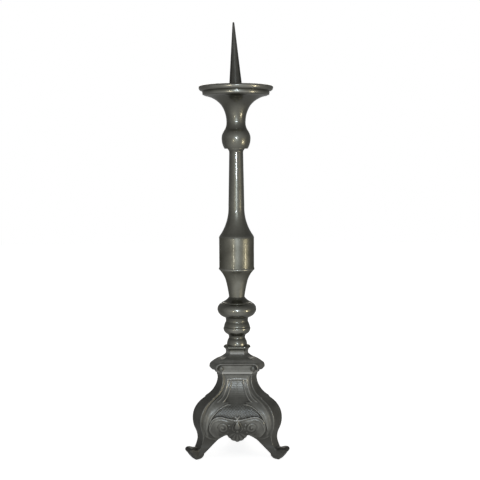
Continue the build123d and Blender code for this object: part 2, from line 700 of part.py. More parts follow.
def leaf_face():
    """Leaf scrolls that cover the apron under a wavy upper edge."""
    return outline(
        (-LEAF_END_HALF_WIDTH, 0),
        (LEAF_END_HALF_WIDTH, 0),
        (LEAF_END_HALF_WIDTH, LEAF_END_HEIGHT),
        (LEAF_PEAK_HALF_WIDTH, LEAF_PEAK_HEIGHT, -LEAF_OUTER_BULGE_DEPTH),
        (0, LEAF_CROWN_HEIGHT, LEAF_INNER_SAG),
        (-LEAF_PEAK_HALF_WIDTH, LEAF_PEAK_HEIGHT, LEAF_INNER_SAG),
        (-LEAF_END_HALF_WIDTH, LEAF_END_HEIGHT, -LEAF_OUTER_BULGE_DEPTH),
    )


def volute_face(side):
    """Scroll beside the drop: a round with a groove about its eye."""
    groove = Circle(VOLUTE_EYE_RADIUS + VOLUTE_GROOVE) - Circle(VOLUTE_EYE_RADIUS)
    return Pos(side * VOLUTE_OFFSET, VOLUTE_HEIGHT) * (Circle(VOLUTE_RADIUS) - groove)


def shell_face():
    """Fan shell in the middle of the apron."""
    half = APRON_CROWN_HALF_WIDTH
    return outline(
        (-half, APRON_CROWN_HEIGHT),
        (half, APRON_CROWN_HEIGHT, -SHELL_DEPTH),
        (0, SHELL_TOP_HEIGHT),
    )


def relief(face, rise):
    """Ornament that stands on a panel by its rise."""
    layer = upright(panel_region(-rise, 0) - panel_region(PANEL_WALL / 2, 0))
    return layer & outward(face)


def make_panel():
    """Base panel with its relief, drawn along +X and cut to the legs beside it."""
    slab = upright(panel_region(0, 0) - panel_region(PANEL_WALL, PANEL_WALL_DROP))
    body = slab + relief(field_face(0) - field_face(FIELD_BORDER), FIELD_BORDER_RISE)
    body = body + relief(leaf_face(), LEAF_RISE)
    for side in (1, -1):
        body = body + relief(volute_face(side), VOLUTE_RISE)
    drop = Pos(0, DROP_HEIGHT) * Ellipse(DROP_HALF_WIDTH, DROP_HALF_HEIGHT)
    body = body + relief(drop, DROP_RISE)
    body = body + relief(shell_face(), SHELL_RISE)
    half_angle = math.radians(HALF_CORNER)
    corner = (REACH * math.cos(half_angle), REACH * math.sin(half_angle))
    sector = extrude(Polygon((0, 0), (corner[0], -corner[1]), corner, align=None), BASE_HEIGHT)
    body = body & outward(panel_outline()) & sector
    for turn in (HALF_CORNER, -HALF_CORNER):
        body = body - Rot(0, 0, turn) * outward(leg_width())
    return body


def make_spreader_plate():
    """Iron plate wedged in the narrowing neck of the base, with the rod's hole."""
    inner_panel = panel_region(PANEL_WALL + PLATE_CLEARANCE, PANEL_WALL_DROP)
    fill = six_sided(inner_panel, leg_inner_region(PLATE_CLEARANCE))
    plate = fill & column(REACH, PLATE_BOTTOM, PLATE_TOP)
    return Rot(0, 0, PANEL_TURNS["front"]) * plate - rod_hole(PLATE_BOTTOM, PLATE_TOP)


def make_nut():
    """Square nut under the washer."""
    block = Pos(0, 0, NUT_BOTTOM) * Box(NUT_ACROSS_FLATS, NUT_ACROSS_FLATS, NUT_HEIGHT, align=STANDING)
    return block - column(THREAD_RADIUS, NUT_BOTTOM, WASHER_BOTTOM)


def cushion_profile(foot, cove, edge, shoulder, slope, neck):
    """Region behind one side of the cushion: fillet, cove, rounded edge and ogee to the neck."""
    edge_level = BASE_HEIGHT + CUSHION_EDGE_HEIGHT
    return outline(
        (-REACH, BASE_HEIGHT),
        (foot, BASE_HEIGHT),
        (foot, BASE_HEIGHT + CUSHION_FOOT_FILLET),
        (cove, BASE_HEIGHT + CUSHION_COVE_HEIGHT, CUSHION_COVE),
        (edge, edge_level, -CUSHION_BULGE_DEPTH),
        (shoulder, BASE_HEIGHT + CUSHION_SHOULDER_HEIGHT, -CUSHION_BULGE_DEPTH),
        (slope, BASE_HEIGHT + CUSHION_SLOPE_HEIGHT, -CUSHION_SLOPE_BULGE_DEPTH),
        (neck, BASE_HEIGHT + CUSHION_NECK_HEIGHT, CUSHION_NECK_COVE),
        (neck, CUSHION_TOP),
        (-REACH, CUSHION_TOP),
    )


def cushion_face(rise):
    """The cushion's main side, moved out by a relief's rise."""
    return cushion_profile(
        CUSHION_FACE_FOOT + rise,
        CUSHION_FACE_COVE + rise,
        CUSHION_FACE_EDGE + rise,
        CUSHION_FACE_SHOULDER + rise,
        CUSHION_FACE_SLOPE + rise,
        CUSHION_FACE_NECK + rise,
    )


def make_cushion():
    """Cushion stage on the base, with a scroll-ended tablet on each of its three faces."""
    corner = cushion_profile(
        CUSHION_CORNER_FOOT,
        CUSHION_CORNER_COVE,
        CUSHION_CORNER_EDGE,
        CUSHION_CORNER_SHOULDER,
        CUSHION_CORNER_SLOPE,
        CUSHION_CORNER_NECK,
    )
    body = six_sided(cushion_face(0), corner)
    middle = BASE_HEIGHT + (TABLET_BOTTOM + TABLET_TOP) / 2
    tablet = Pos(0, middle) * RectangleRounded(
        2 * TABLET_HALF_WIDTH, TABLET_TOP - TABLET_BOTTOM, TABLET_CORNER
    )
    ornament = upright(cushion_face(TABLET_RISE) - cushion_face(-TABLET_RISE)) & outward(tablet)
    eye_layer = upright(cushion_face(TABLET_EYE_RISE) - cushion_face(-TABLET_RISE))
    for side in (1, -1):
        eye = Pos(side * TABLET_EYE_OFFSET, BASE_HEIGHT + TABLET_EYE_HEIGHT) * Circle(TABLET_EYE_RADIUS)
        ornament = ornament + (eye_layer & outward(eye))
    for turn in (0, THIRD_TURN, -THIRD_TURN):
        body = body + Rot(0, 0, turn) * ornament
    hollow = column(CUSHION_HOLLOW_RADIUS, BASE_HEIGHT, BASE_HEIGHT + CUSHION_HOLLOW_HEIGHT)
    body = Rot(0, 0, PANEL_TURNS["front"]) * body
    hole = rod_hole(BASE_HEIGHT, CUSHION_TOP + SPIGOT_HEIGHT)
    return body + spigot(CUSHION_TOP) - hollow - hole


def abacus_profile(neck, plate):
    """Region behind one side of the cap: cove, fillet, edge and bevel."""
    cove_top = CUSHION_TOP + ABACUS_COVE_HEIGHT
    edge_top = cove_top + ABACUS_FILLET_HEIGHT
    return outline(
        (-REACH, CUSHION_TOP),
        (neck, CUSHION_TOP),
        (plate - ABACUS_FILLET, cove_top, ABACUS_COVE),
        (plate, cove_top),
        (plate, edge_top),
        (plate - ABACUS_BEVEL, ABACUS_TOP),
        (-REACH, ABACUS_TOP),
    )


def make_abacus():
    """Three-sided cap with cut corners on the cushion's neck."""
    body = six_sided(
        abacus_profile(CUSHION_FACE_NECK, ABACUS_FACE),
        abacus_profile(CUSHION_CORNER_NECK, ABACUS_CORNER),
    )
    body = Rot(0, 0, PANEL_TURNS["front"]) * body
    hole = rod_hole(CUSHION_TOP, ABACUS_TOP + SPIGOT_HEIGHT)
    return body + spigot(ABACUS_TOP) - socket(CUSHION_TOP) - hole


def main():
    """Build every piece and write one file for each."""
    pieces = {
        "pricket": make_pricket(),
        "drip_pan": make_drip_pan(),
        "pan_trumpet": make_pan_trumpet(),
        "bulb_cup": make_bulb_cup(),
        "shaft": make_shaft(),
        "drum": make_drum(),
        "vase_bell": make_vase_bell(),
        "knop_upper": make_knop_upper(),
        "knop_lower": make_knop_lower(),
        "ring_knop": make_ring_knop(),
        "foot_bell": make_foot_bell(),
        "abacus": make_abacus(),
        "cushion_stage": make_cushion(),
        "tie_rod": column(ROD_RADIUS, ROD_BOTTOM, ROD_TOP),
        "tie_nut": make_nut(),
        "tie_washer": tube(WASHER_RADIUS, ROD_HOLE_RADIUS, WASHER_BOTTOM, PLATE_BOTTOM),
        "spreader_plate": make_spreader_plate(),
    }
    panel = make_panel()
    for side, turn in PANEL_TURNS.items():
        pieces["base_panel_" + side] = Rot(0, 0, turn) * panel
    leg = make_leg()
    for side, turn in LEG_TURNS.items():
        pieces["leg_" + side] = Rot(0, 0, turn) * leg
    for name, piece in pieces.items():
        export_step(piece, f"parts/{name}.step")


main()
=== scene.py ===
import logging
import math
from dataclasses import dataclass, field, replace
from enum import Enum

import bpy
import numpy as np
from mathutils import Matrix, Vector


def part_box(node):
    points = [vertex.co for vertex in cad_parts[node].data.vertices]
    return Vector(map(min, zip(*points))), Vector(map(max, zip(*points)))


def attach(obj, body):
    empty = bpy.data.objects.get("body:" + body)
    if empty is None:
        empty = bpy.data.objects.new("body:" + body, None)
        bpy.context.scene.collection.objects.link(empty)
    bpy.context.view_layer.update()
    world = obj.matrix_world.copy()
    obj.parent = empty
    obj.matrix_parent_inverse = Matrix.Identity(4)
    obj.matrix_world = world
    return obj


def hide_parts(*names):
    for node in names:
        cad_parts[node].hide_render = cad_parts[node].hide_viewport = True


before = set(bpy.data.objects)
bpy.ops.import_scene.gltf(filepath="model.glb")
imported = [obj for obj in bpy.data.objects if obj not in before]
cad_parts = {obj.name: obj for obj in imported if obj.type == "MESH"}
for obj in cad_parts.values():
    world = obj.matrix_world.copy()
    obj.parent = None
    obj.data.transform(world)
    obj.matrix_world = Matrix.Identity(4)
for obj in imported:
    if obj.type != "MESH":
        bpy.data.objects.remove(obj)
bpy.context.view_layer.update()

LOG = logging.getLogger("candle_stand")
MM = 0.001
BODY = "root"

# Point attribute of every new piece, with its values on plain ground and on hidden faces; on the cushion
# and the panels it also carries painted highlights and painted shade
WEAR = "wear"
PLAIN_WEAR = 0.5
INSIDE_WEAR = 0.3

# Measures shared by the pieces, in millimetres
LINE_STEP = 0.3
ROD_HOLE = 4.3
CAST_WALL = 2.8

# Directions in degrees about the stem axis
FRONT = -90.0
THIRD = 120.0
SIXTH = 60.0

# Half angle in radians under which an arc is a straight line
STRAIGHT = 1e-6

# Where a bell curve is cut off, in spreads
BELL_REACH = 3.0

# Points along a drawn border, and its softness in millimetres
BORDER_POINTS = 400
BORDER_SOFTNESS = 2.2

# Arc height of a quarter circle of radius one, and cosine of an eighth of a turn
QUARTER_ARC = 1.0 - math.sqrt(0.5)
DIAGONAL = 0.7071

# Edges that turn by more degrees than this stay sharp
SHARP_ANGLE = 50.0

WHITE = (1.0, 1.0, 1.0, 1.0)

Array = np.ndarray
Colour = tuple[float, float, float]
Place = tuple[float, float, float]
Curve = tuple[tuple[float, float], ...]


def dome(distance: Array, radius: float | Array) -> Array:
    """Round boss of height one inside a radius: the root of 1 - (d / r)^2."""
    return np.sqrt(np.clip(1.0 - (distance / radius) ** 2, 0.0, 1.0))


@dataclass(frozen=True)
class Knot:
    """End of one stretch of a profile, in mm; the bend is the arc's height to the left of the way."""

    radius: float
    height: float
    bend: float = 0.0


@dataclass(frozen=True)
class Fade:
    """Smooth change between two values, with level ends: t^2 (3 - 2 t), t the share of the way."""

    start: float
    end: float

    def up(self, value: Array) -> Array:
        """Share that rises from 0 at the start to 1 at the end."""
        share = np.clip((value - self.start) / (self.end - self.start), 0.0, 1.0)
        return share * share * (3.0 - 2.0 * share)

    def down(self, value: Array) -> Array:
        """Share that falls from 1 at the start to 0 at the end."""
        return 1.0 - self.up(value)


@dataclass(frozen=True)
class Roll:
    """Rounded ridge along a line, in mm: a bell curve of the distance from its crest."""

    height: float
    width: float
    crest: float = 0.0

    def over(self, distance: Array) -> Array:
        """Height of the ridge at a distance from the line."""
        return self.height * np.exp(-0.5 * ((distance - self.crest) / self.width) ** 2)


@dataclass(frozen=True)
class Boss:
    """Round boss, in mm: a dome of a height and a radius."""

    height: float
    radius: float

    def over(self, distance: Array) -> Array:
        """Height of the boss at a distance from its middle."""
        return self.height * dome(distance, self.radius)


def profile(*ends: tuple[float, ...]) -> tuple[Knot, ...]:
    """Knots from short tuples of distance, height and, for an arc, its bend."""
    return tuple(Knot(*end) for end in ends)


def foot_of(node: str) -> float:
    """Height in mm of a node's lowest point."""
    return float(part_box(node)[0][2]) / MM


def head_of(node: str) -> float:
    """Height in mm of a node's highest point."""
    return float(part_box(node)[1][2]) / MM


def round_angles(count: int) -> Array:
    """Directions of a number of columns, evenly round the axis, in radians."""
    return np.arange(count) * 2.0 * math.pi / count


def stretch(start: Array, end: Array, bend: float) -> Array:
    """Points of a line or of a circular arc.

    With c the chord and b the arc height, the half angle h is 2 atan(2 b / c). A point at the share t of
    that angle lies (c / 2) sin(t h) / sin(h) along the chord and (c / 2) (cos(t h) - cos(h)) / sin(h)
    off it.

    Args:
        start: first point, distance and height.
        end: last point.
        bend: arc height, to the left of the way.

    Returns:
        Points from the start up to, but without, the end.
    """
    chord = end - start
    length = float(np.hypot(*chord))
    count = max(2, int(math.ceil(length / LINE_STEP)))
    share = np.linspace(-1.0, 1.0, count, endpoint=False)
    along = chord / length
    left = np.array([-along[1], along[0]])
    half = 2.0 * math.atan2(2.0 * bend, length)
    if abs(half) < STRAIGHT:
        run, rise = share, np.zeros(count)
    else:
        run = np.sin(share * half) / math.sin(half)
        rise = (np.cos(share * half) - math.cos(half)) / math.sin(half)
    middle = (start + end) / 2.0
    return middle + length / 2.0 * (run[:, None] * along + rise[:, None] * left)


def trace(knots: tuple[Knot, ...], level: float = 0.0) -> Array:
    """Dense points of a profile.

    Args:
        knots: the profile's stretches; the first knot is its start.
        level: height that is added to every knot.

    Returns:
        Array of distance and height, one row for each point.
    """
    places = np.array([(k.radius, k.height + level) for k in knots])
    runs = [stretch(a, b, k.bend) for a, b, k in zip(places[:-1], places[1:], knots[1:])]
    return np.concatenate(runs + [places[-1:]])


def resampled(line: Array, at: Array, wanted: Array) -> Array:
    """Points of a line at wanted places, worked out between its points at given places."""
    return np.stack([np.interp(wanted, at, column) for column in line.T], axis=1)


def evenly(line: Array) -> Array:
    """Line with points at even steps.

    Args:
        line: points of an open line.

    Returns:
        Points about LINE_STEP apart along the line.
    """
    steps = np.hypot(*np.diff(line, axis=0).T)
    reach = np.concatenate([[0.0], np.cumsum(steps)])
    count = max(3, int(reach[-1] / LINE_STEP) + 1)
    return resampled(line, reach, np.linspace(0.0, reach[-1], count))


def bell_weights(spread: float, step: float) -> Array:
    """Weights of a bell curve that sum to one.

    Args:
        spread: width of the bell.
        step: way between two weights.

    Returns:
        An odd number of weights, the greatest in the middle.
    """
    count = max(1, int(math.ceil(BELL_REACH * spread / step)))
    places = np.arange(-count, count + 1) * step
    weights = np.exp(-0.5 * (places / spread) ** 2)
    return weights / weights.sum()


def weighted_mean(line: Array, weights: Array) -> Array:
    """Mean of each point and its neighbours; past its ends the line is turned about them.

    Args:
        line: points of an open line, one row each.
        weights: an odd number of weights that sum to one.

    Returns:
        As many points, with the ends where they were.
    """
    reach = len(weights) // 2
    before = 2.0 * line[0] - line[reach:0:-1]
    after = 2.0 * line[-1] - line[-2 : -reach - 2 : -1]
    padded = np.concatenate([before, line, after])
    return np.stack([np.convolve(column, weights, mode="valid") for column in padded.T], axis=1)


def soften(line: Array, spread: float) -> Array:
    """Line with its corners rounded: each point becomes a bell-weighted mean of its neighbours.

    Args:
        line: points of an open line; its ends stay where they are.
        spread: width of the bell in mm.

    Returns:
        Points at even steps.
    """
    even = evenly(line)
    weights = bell_weights(spread, LINE_STEP)
    middle = len(weights) // 2
    reach = min(middle, len(even) - 1)
    weights = weights[middle - reach : middle + reach + 1]
    return weighted_mean(even, weights / weights.sum())


def flowing(places: Array, knots: Curve) -> Array:
    """Values on a smooth curve through knots: a cubic between each two, with no bend at either end.

    With h the gaps and s the slopes between the knots, the bends m solve, at each inner knot,
    h0 m0 + 2 (h0 + h1) m1 + h1 m2 = 6 (s1 - s0).

    Args:
        places: where the values are wanted.
        knots: pairs of place and value, in rising order.

    Returns:
        One value for each place.
    """
    at, values = np.array(knots).T
    gap = np.diff(at)
    inner = np.arange(1, len(at) - 1)
    system = np.eye(len(at))
    system[inner, inner - 1] = gap[:-1]
    system[inner, inner] = 2.0 * (gap[:-1] + gap[1:])
    system[inner, inner + 1] = gap[1:]
    right = np.zeros(len(at))
    right[1:-1] = 6.0 * np.diff(np.diff(values) / gap)
    bend = np.linalg.solve(system, right)
    k = np.clip(np.searchsorted(at, places) - 1, 0, len(at) - 2)
    low, high, wide = at[k + 1] - places, places - at[k], gap[k]
    curve = (bend[k] * low**3 + bend[k + 1] * high**3) / (6.0 * wide)
    start = (values[k] / wide - bend[k] * wide / 6.0) * low
    return curve + start + (values[k + 1] / wide - bend[k + 1] * wide / 6.0) * high


def off_line(place: Array, along: Array, knots: Curve) -> Array:
    """Signed distance off a softened curve: place less its value, over the root of 1 + slope^2.

    Args:
        place: places in the way of the curve's values.
        along: places along the curve.
        knots: pairs of place along the curve and value, in rising order.

    Returns:
        Distance in mm, positive past the curve.
    """
    at, values = np.array(knots).T
    fine = np.linspace(at[0], at[-1], BORDER_POINTS)
    weights = bell_weights(BORDER_SOFTNESS, fine[1] - fine[0])
    curve = weighted_mean(np.interp(fine, at, values)[:, None], weights)[:, 0]
    slope = np.interp(along, fine, np.gradient(curve, fine))
    return (place - np.interp(along, fine, curve)) / np.sqrt(1.0 + slope**2)


def blurred(heights: Array, passes: int) -> Array:
    """Field of heights, averaged with its four neighbours a number of times.

    Args:
        heights: the field.
        passes: how often.

    Returns:
        The smoother field.
    """
    out = heights
    for _ in range(passes):
        padded = np.pad(out, 1, mode="edge")
        around = padded[:-2, 1:-1] + padded[2:, 1:-1] + padded[1:-1, :-2] + padded[1:-1, 2:]
        out = 0.5 * out + 0.125 * around
    return out


def turned(turn: float, distance: Array, across: Array, height: Array) -> Array:
    """Places in space of points given along one direction p: (d cos p - a sin p, d sin p + a cos p, z).

    Args:
        turn: the direction about the stem axis, in degrees.
        distance: way out along the direction.
        across: way sideways.
        height: height.

    Returns:
        Array with the three coordinates last.
    """
    angle = math.radians(turn)
    x = distance * math.cos(angle) - across * math.sin(angle)
    y = distance * math.sin(angle) + across * math.cos(angle)
    return np.stack([x, y, height], axis=-1)


def grid_quads(rows: int, columns: int, close_rows: bool, close_columns: bool) -> Array:
    """Quads of a grid whose vertices are stored row by row.

    Args:
        rows: number of rows.
        columns: number of columns.
        close_rows: whether the last row joins the first.
        close_columns: whether the last column joins the first.

    Returns:
        Array of four vertex numbers for each face.
    """
    i = np.arange(rows if close_rows else rows - 1)[:, None]
    j = np.arange(columns if close_columns else columns - 1)[None, :]
    i_next = (i + 1) % rows
    j_next = (j + 1) % columns
    corners = [i * columns + j, i * columns + j_next, i_next * columns + j_next, i_next * columns + j]
    return np.stack(corners, axis=-1).reshape(-1, 4)


def capped_tube(rings: Array, poles: Array) -> tuple[Array, list[Array]]:
    """Tube through rings of points that closes on a pole at each end.

    Args:
        rings: places, rings by points.
        poles: places of the pole before the first ring and of the one after the last.

    Returns:
        Vertices with the poles last, and faces: the quads and a fan at each end.
    """
    rows, columns = rings.shape[:2]
    count = rows * columns
    here = np.arange(columns)
    there = (here + 1) % columns
    last = count - columns
    start = np.stack([np.full(columns, count), there, here], axis=1)
    end = np.stack([np.full(columns, count + 1), last + here, last + there], axis=1)
    vertices = np.concatenate([rings.reshape(-1, 3), poles])
    return vertices, [grid_quads(rows, columns, False, True), start, end]


def enclosed(vertices: Array, faces: list[Array]) -> float:
    """Signed volume inside closed faces: the sum of v0 . (v1 x v2) / 6 over fans of triangles.

    Args:
        vertices: places.
        faces: arrays of triangles or quads.

    Returns:
        The volume, negative where the faces point inwards.
    """
    total = 0.0
    for polygons in faces:
        first = vertices[polygons[:, 0]]
        for k in range(1, polygons.shape[1] - 1):
            cross = np.cross(vertices[polygons[:, k]], vertices[polygons[:, k + 1]])
            total += float(np.einsum("ij,ij->", first, cross)) / 6.0
    return total


def mesh_object(name: str, vertices: Array, faces: list[Array], wear: Array) -> bpy.types.Object:
    """Object of a closed mesh with outward faces and its wear stored on its points.

    Args:
        name: the object's name.
        vertices: places in mm.
        faces: arrays of triangles or quads.
        wear: one value for each vertex, 0 in hollows, 0.5 on plain ground and 1 on worn edges; on some
            pieces it also holds painted highlights and painted shade.

    Returns:
        The linked object.
    """
    if enclosed(vertices, faces) < 0.0:
        faces = [polygons[:, ::-1] for polygons in faces]
    loops = np.concatenate([polygons.ravel() for polygons in faces])
    sizes = np.concatenate([np.full(len(polygons), polygons.shape[1]) for polygons in faces])
    starts = np.concatenate([[0], np.cumsum(sizes)[:-1]])
    mesh = bpy.data.meshes.new(name)
    mesh.vertices.add(len(vertices))
    mesh.vertices.foreach_set("co", (vertices * MM).astype(np.float32).ravel())
    mesh.loops.add(len(loops))
    mesh.loops.foreach_set("vertex_index", loops.astype(np.int32))
    mesh.polygons.add(len(sizes))
    mesh.polygons.foreach_set("loop_start", starts.astype(np.int32))
    mesh.update(calc_edges=True)
    mesh.validate()
    mesh.shade_smooth()
    mesh.set_sharp_from_angle(angle=math.radians(SHARP_ANGLE))
    attribute = mesh.attributes.new(WEAR, "FLOAT", "POINT")
    attribute.data.foreach_set("value", np.clip(wear, 0.0, 1.0).astype(np.float32).ravel())
    piece = bpy.data.objects.new(name, mesh)
    bpy.context.scene.collection.objects.link(piece)
    return piece


def set_inputs(node: bpy.types.Node, values: dict[str, float | tuple[float, ...]]) -> None:
    """Set constants on a node's own sockets."""
    for name, value in values.items():
        node.inputs[name].default_value = value


def weighted_sum(
    tree: bpy.types.NodeTree, constant: float, terms: list[tuple[bpy.types.NodeSocket, float]]
) -> bpy.types.NodeSocket:
    """Sum of a constant and of sockets times their shares, as a chain of multiply-add nodes.

    Args:
        tree: the material's nodes.
        constant: added number.
        terms: pairs of a value socket and its share.

    Returns:
        The sum's output socket.
    """
    total: bpy.types.NodeSocket | None = None
    for socket, share in terms:
        step = tree.nodes.new("ShaderNodeMath")
        step.operation = "MULTIPLY_ADD"
        tree.links.new(socket, step.inputs[0])
        step.inputs[1].default_value = share
        if total is None:
            step.inputs[2].default_value = constant
        else:
            tree.links.new(total, step.inputs[2])
        total = step.outputs[0]
    return total


class Slot(Enum):
    """Material slots of the record that the new pieces use."""

    PEWTER = "pewter"
    RELIEF = "pewter_relief"
    SPIKE = "spike_iron"


@dataclass(frozen=True)
class Noise:
    """Noise on Object coordinates: cells for each metre and number of finer layers."""

    scale: float
    detail: float

    def build(self, tree: bpy.types.NodeTree, places: bpy.types.Node) -> bpy.types.NodeSocket:
        """Add the noise to a material.

        Args:
            tree: the material's nodes.
            places: its Texture Coordinate node.

        Returns:
            The noise's output socket.
        """
        noise = tree.nodes.new("ShaderNodeTexNoise")
        set_inputs(noise, {"Scale": self.scale, "Detail": self.detail})
        tree.links.new(places.outputs["Object"], noise.inputs["Vector"])
        return noise.outputs["Fac"]


@dataclass(frozen=True)
class Finish:
    """Aged metal: a dark film in the hollows, a body colour, and bright metal on the worn edges."""

    name: str
    film: Colour
    body: Colour
    bright: Colour
    edge_tint: Colour
    roughness: float
    grain: float
    coat: float = 0.0
    coat_roughness: float = 0.05
    metallic: float = 1.0
    uses_wear: bool = True
    clouds: Noise = Noise(55.0, 4.0)
    spots: Noise = Noise(320.0, 3.0)
    grains: Noise = Noise(1800.0, 2.0)
    cloud_share: float = 0.5
    spot_share: float = 0.2
    tone_stops: tuple[float, float, float] = (0.12, 0.5, 0.92)
    dull_share: float = 0.14
    grain_rise: float = 0.35
    spot_rise: float = 0.8
    bump_depth: float = 0.0004

    def material(self) -> bpy.types.Material:
        """Node material of the finish.

        Clouds, spots and wear choose the tone; clouds and tone give the roughness, and grain and spots
        the bump.

        Returns:
            The new material.
        """
        made = bpy.data.materials.new(self.name)
        made.use_nodes = True
        tree = made.node_tree
        nodes, links = tree.nodes, tree.links
        shader = nodes["Principled BSDF"]
        constants = {
            "Metallic": self.metallic,
            "Specular Tint": (*self.edge_tint, 1.0),
            "Coat Weight": self.coat,
            "Coat Roughness": self.coat_roughness,
        }
        set_inputs(shader, constants)
        places = nodes.new("ShaderNodeTexCoord")
        clouds, spots, grains = (n.build(tree, places) for n in (self.clouds, self.spots, self.grains))
        level = -0.5 * (self.cloud_share + self.spot_share)
        terms = [(clouds, self.cloud_share), (spots, self.spot_share)]
        if self.uses_wear:
            wear = nodes.new("ShaderNodeAttribute")
            wear.attribute_name = WEAR
            terms.append((wear.outputs["Fac"], 1.0))
        else:
            level += PLAIN_WEAR
        tone = weighted_sum(tree, level, terms)
        ramp = nodes.new("ShaderNodeValToRGB")
        elements = ramp.color_ramp.elements
        elements.new(self.tone_stops[1])
        tones = (self.film, self.body, self.bright)
        for element, place, colour in zip(elements, self.tone_stops, tones):
            element.position = place
            element.color = (*colour, 1.0)
        links.new(tone, ramp.inputs["Fac"])
        links.new(ramp.outputs["Color"], shader.inputs["Base Color"])
        dull = weighted_sum(tree, self.roughness, [(clouds, self.dull_share), (tone, -self.dull_share)])
        links.new(dull, shader.inputs["Roughness"])
        bump = nodes.new("ShaderNodeBump")
        set_inputs(bump, {"Strength": self.grain, "Distance": self.bump_depth})
        rough = weighted_sum(tree, 0.0, [(grains, self.grain_rise), (spots, self.spot_rise)])
        links.new(rough, bump.inputs["Height"])
        links.new(bump.outputs["Normal"], shader.inputs["Normal"])
        return made


TURNED_PEWTER = Finish(
    "turned pewter",
    film=(0.08, 0.079, 0.063),
    body=(0.168, 0.167, 0.139),
    bright=(0.28, 0.28, 0.248),
    edge_tint=(0.4, 0.4, 0.36),
    roughness=0.34,
    grain=0.004,
    coat=0.9,
)
RUBBED_PEWTER = replace(
    TURNED_PEWTER, name="rubbed pewter", roughness=0.33, grain=0.008, coat=0.7, coat_roughness=0.16
)
BRUSHED_PEWTER = Finish(
    "brushed pewter",
    film=(0.10, 0.098, 0.08),
    body=(0.20, 0.198, 0.166),
    bright=(0.31, 0.31, 0.275),
    edge_tint=(0.4, 0.4, 0.36),
    roughness=0.4,
    grain=0.015,
    coat=0.15,
    cloud_share=0.85,
)
CAST_PEWTER = Finish(
    "cast pewter",
    film=(0.055, 0.054, 0.048),
    body=(0.165, 0.165, 0.15),
    bright=(0.34, 0.34, 0.32),
    edge_tint=(0.4, 0.4, 0.38),
    roughness=0.42,
    grain=0.03,
    coat=0.25,
    coat_roughness=0.22,
    metallic=0.55,
)
SPIKE_IRON = Finish(
    "spike iron",
    film=(0.045, 0.044, 0.039),
    body=(0.1, 0.099, 0.088),
    bright=(0.17, 0.17, 0.156),
    edge_tint=(0.4, 0.4, 0.38),
    roughness=0.40,
    grain=0.08,
    coat=0.1,
)
HIDDEN_IRON = Finish(
    "hidden iron",
    film=(0.06, 0.045, 0.035),
    body=(0.13, 0.11, 0.095),
    bright=(0.22, 0.2, 0.18),
    edge_tint=(0.4, 0.38, 0.36),
    roughness=0.55,
    grain=0.3,
    uses_wear=False,
)


@dataclass
class Wardrobe:
    """Makes each finish's material once and puts it on pieces."""

    made: dict[str, bpy.types.Material] = field(default_factory=dict)

    def material(self, finish: Finish) -> bpy.types.Material:
        """Material of a finish, made at its first use.

        Args:
            finish: the finish.

        Returns:
            Its one material.
        """
        if finish.name not in self.made:
            self.made[finish.name] = finish.material()
        return self.made[finish.name]

    def dress(self, piece: bpy.types.Object, finish: Finish, slot: Slot, node: str) -> None:
        """Give a new piece its finish and its body, and hide the node that it stands for.

        Args:
            piece: the new object.
            finish: its finish.
            slot: its slot in the record; not used.
            node: the CAD node that it replaces.
        """
        piece.data.materials.append(self.material(finish))
        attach(piece, BODY)
        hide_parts(node)
        LOG.info("%s stands for %s with %d faces", piece.name, node, len(piece.data.polygons))

    def repaint(self, node: str, finish: Finish) -> None:
        """Put a finish on a CAD node that stays.

        Args:
            node: the node.
            finish: its finish.
        """
        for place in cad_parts[node].material_slots:
            place.material = self.material(finish)
        LOG.info("%s keeps its solid", node)


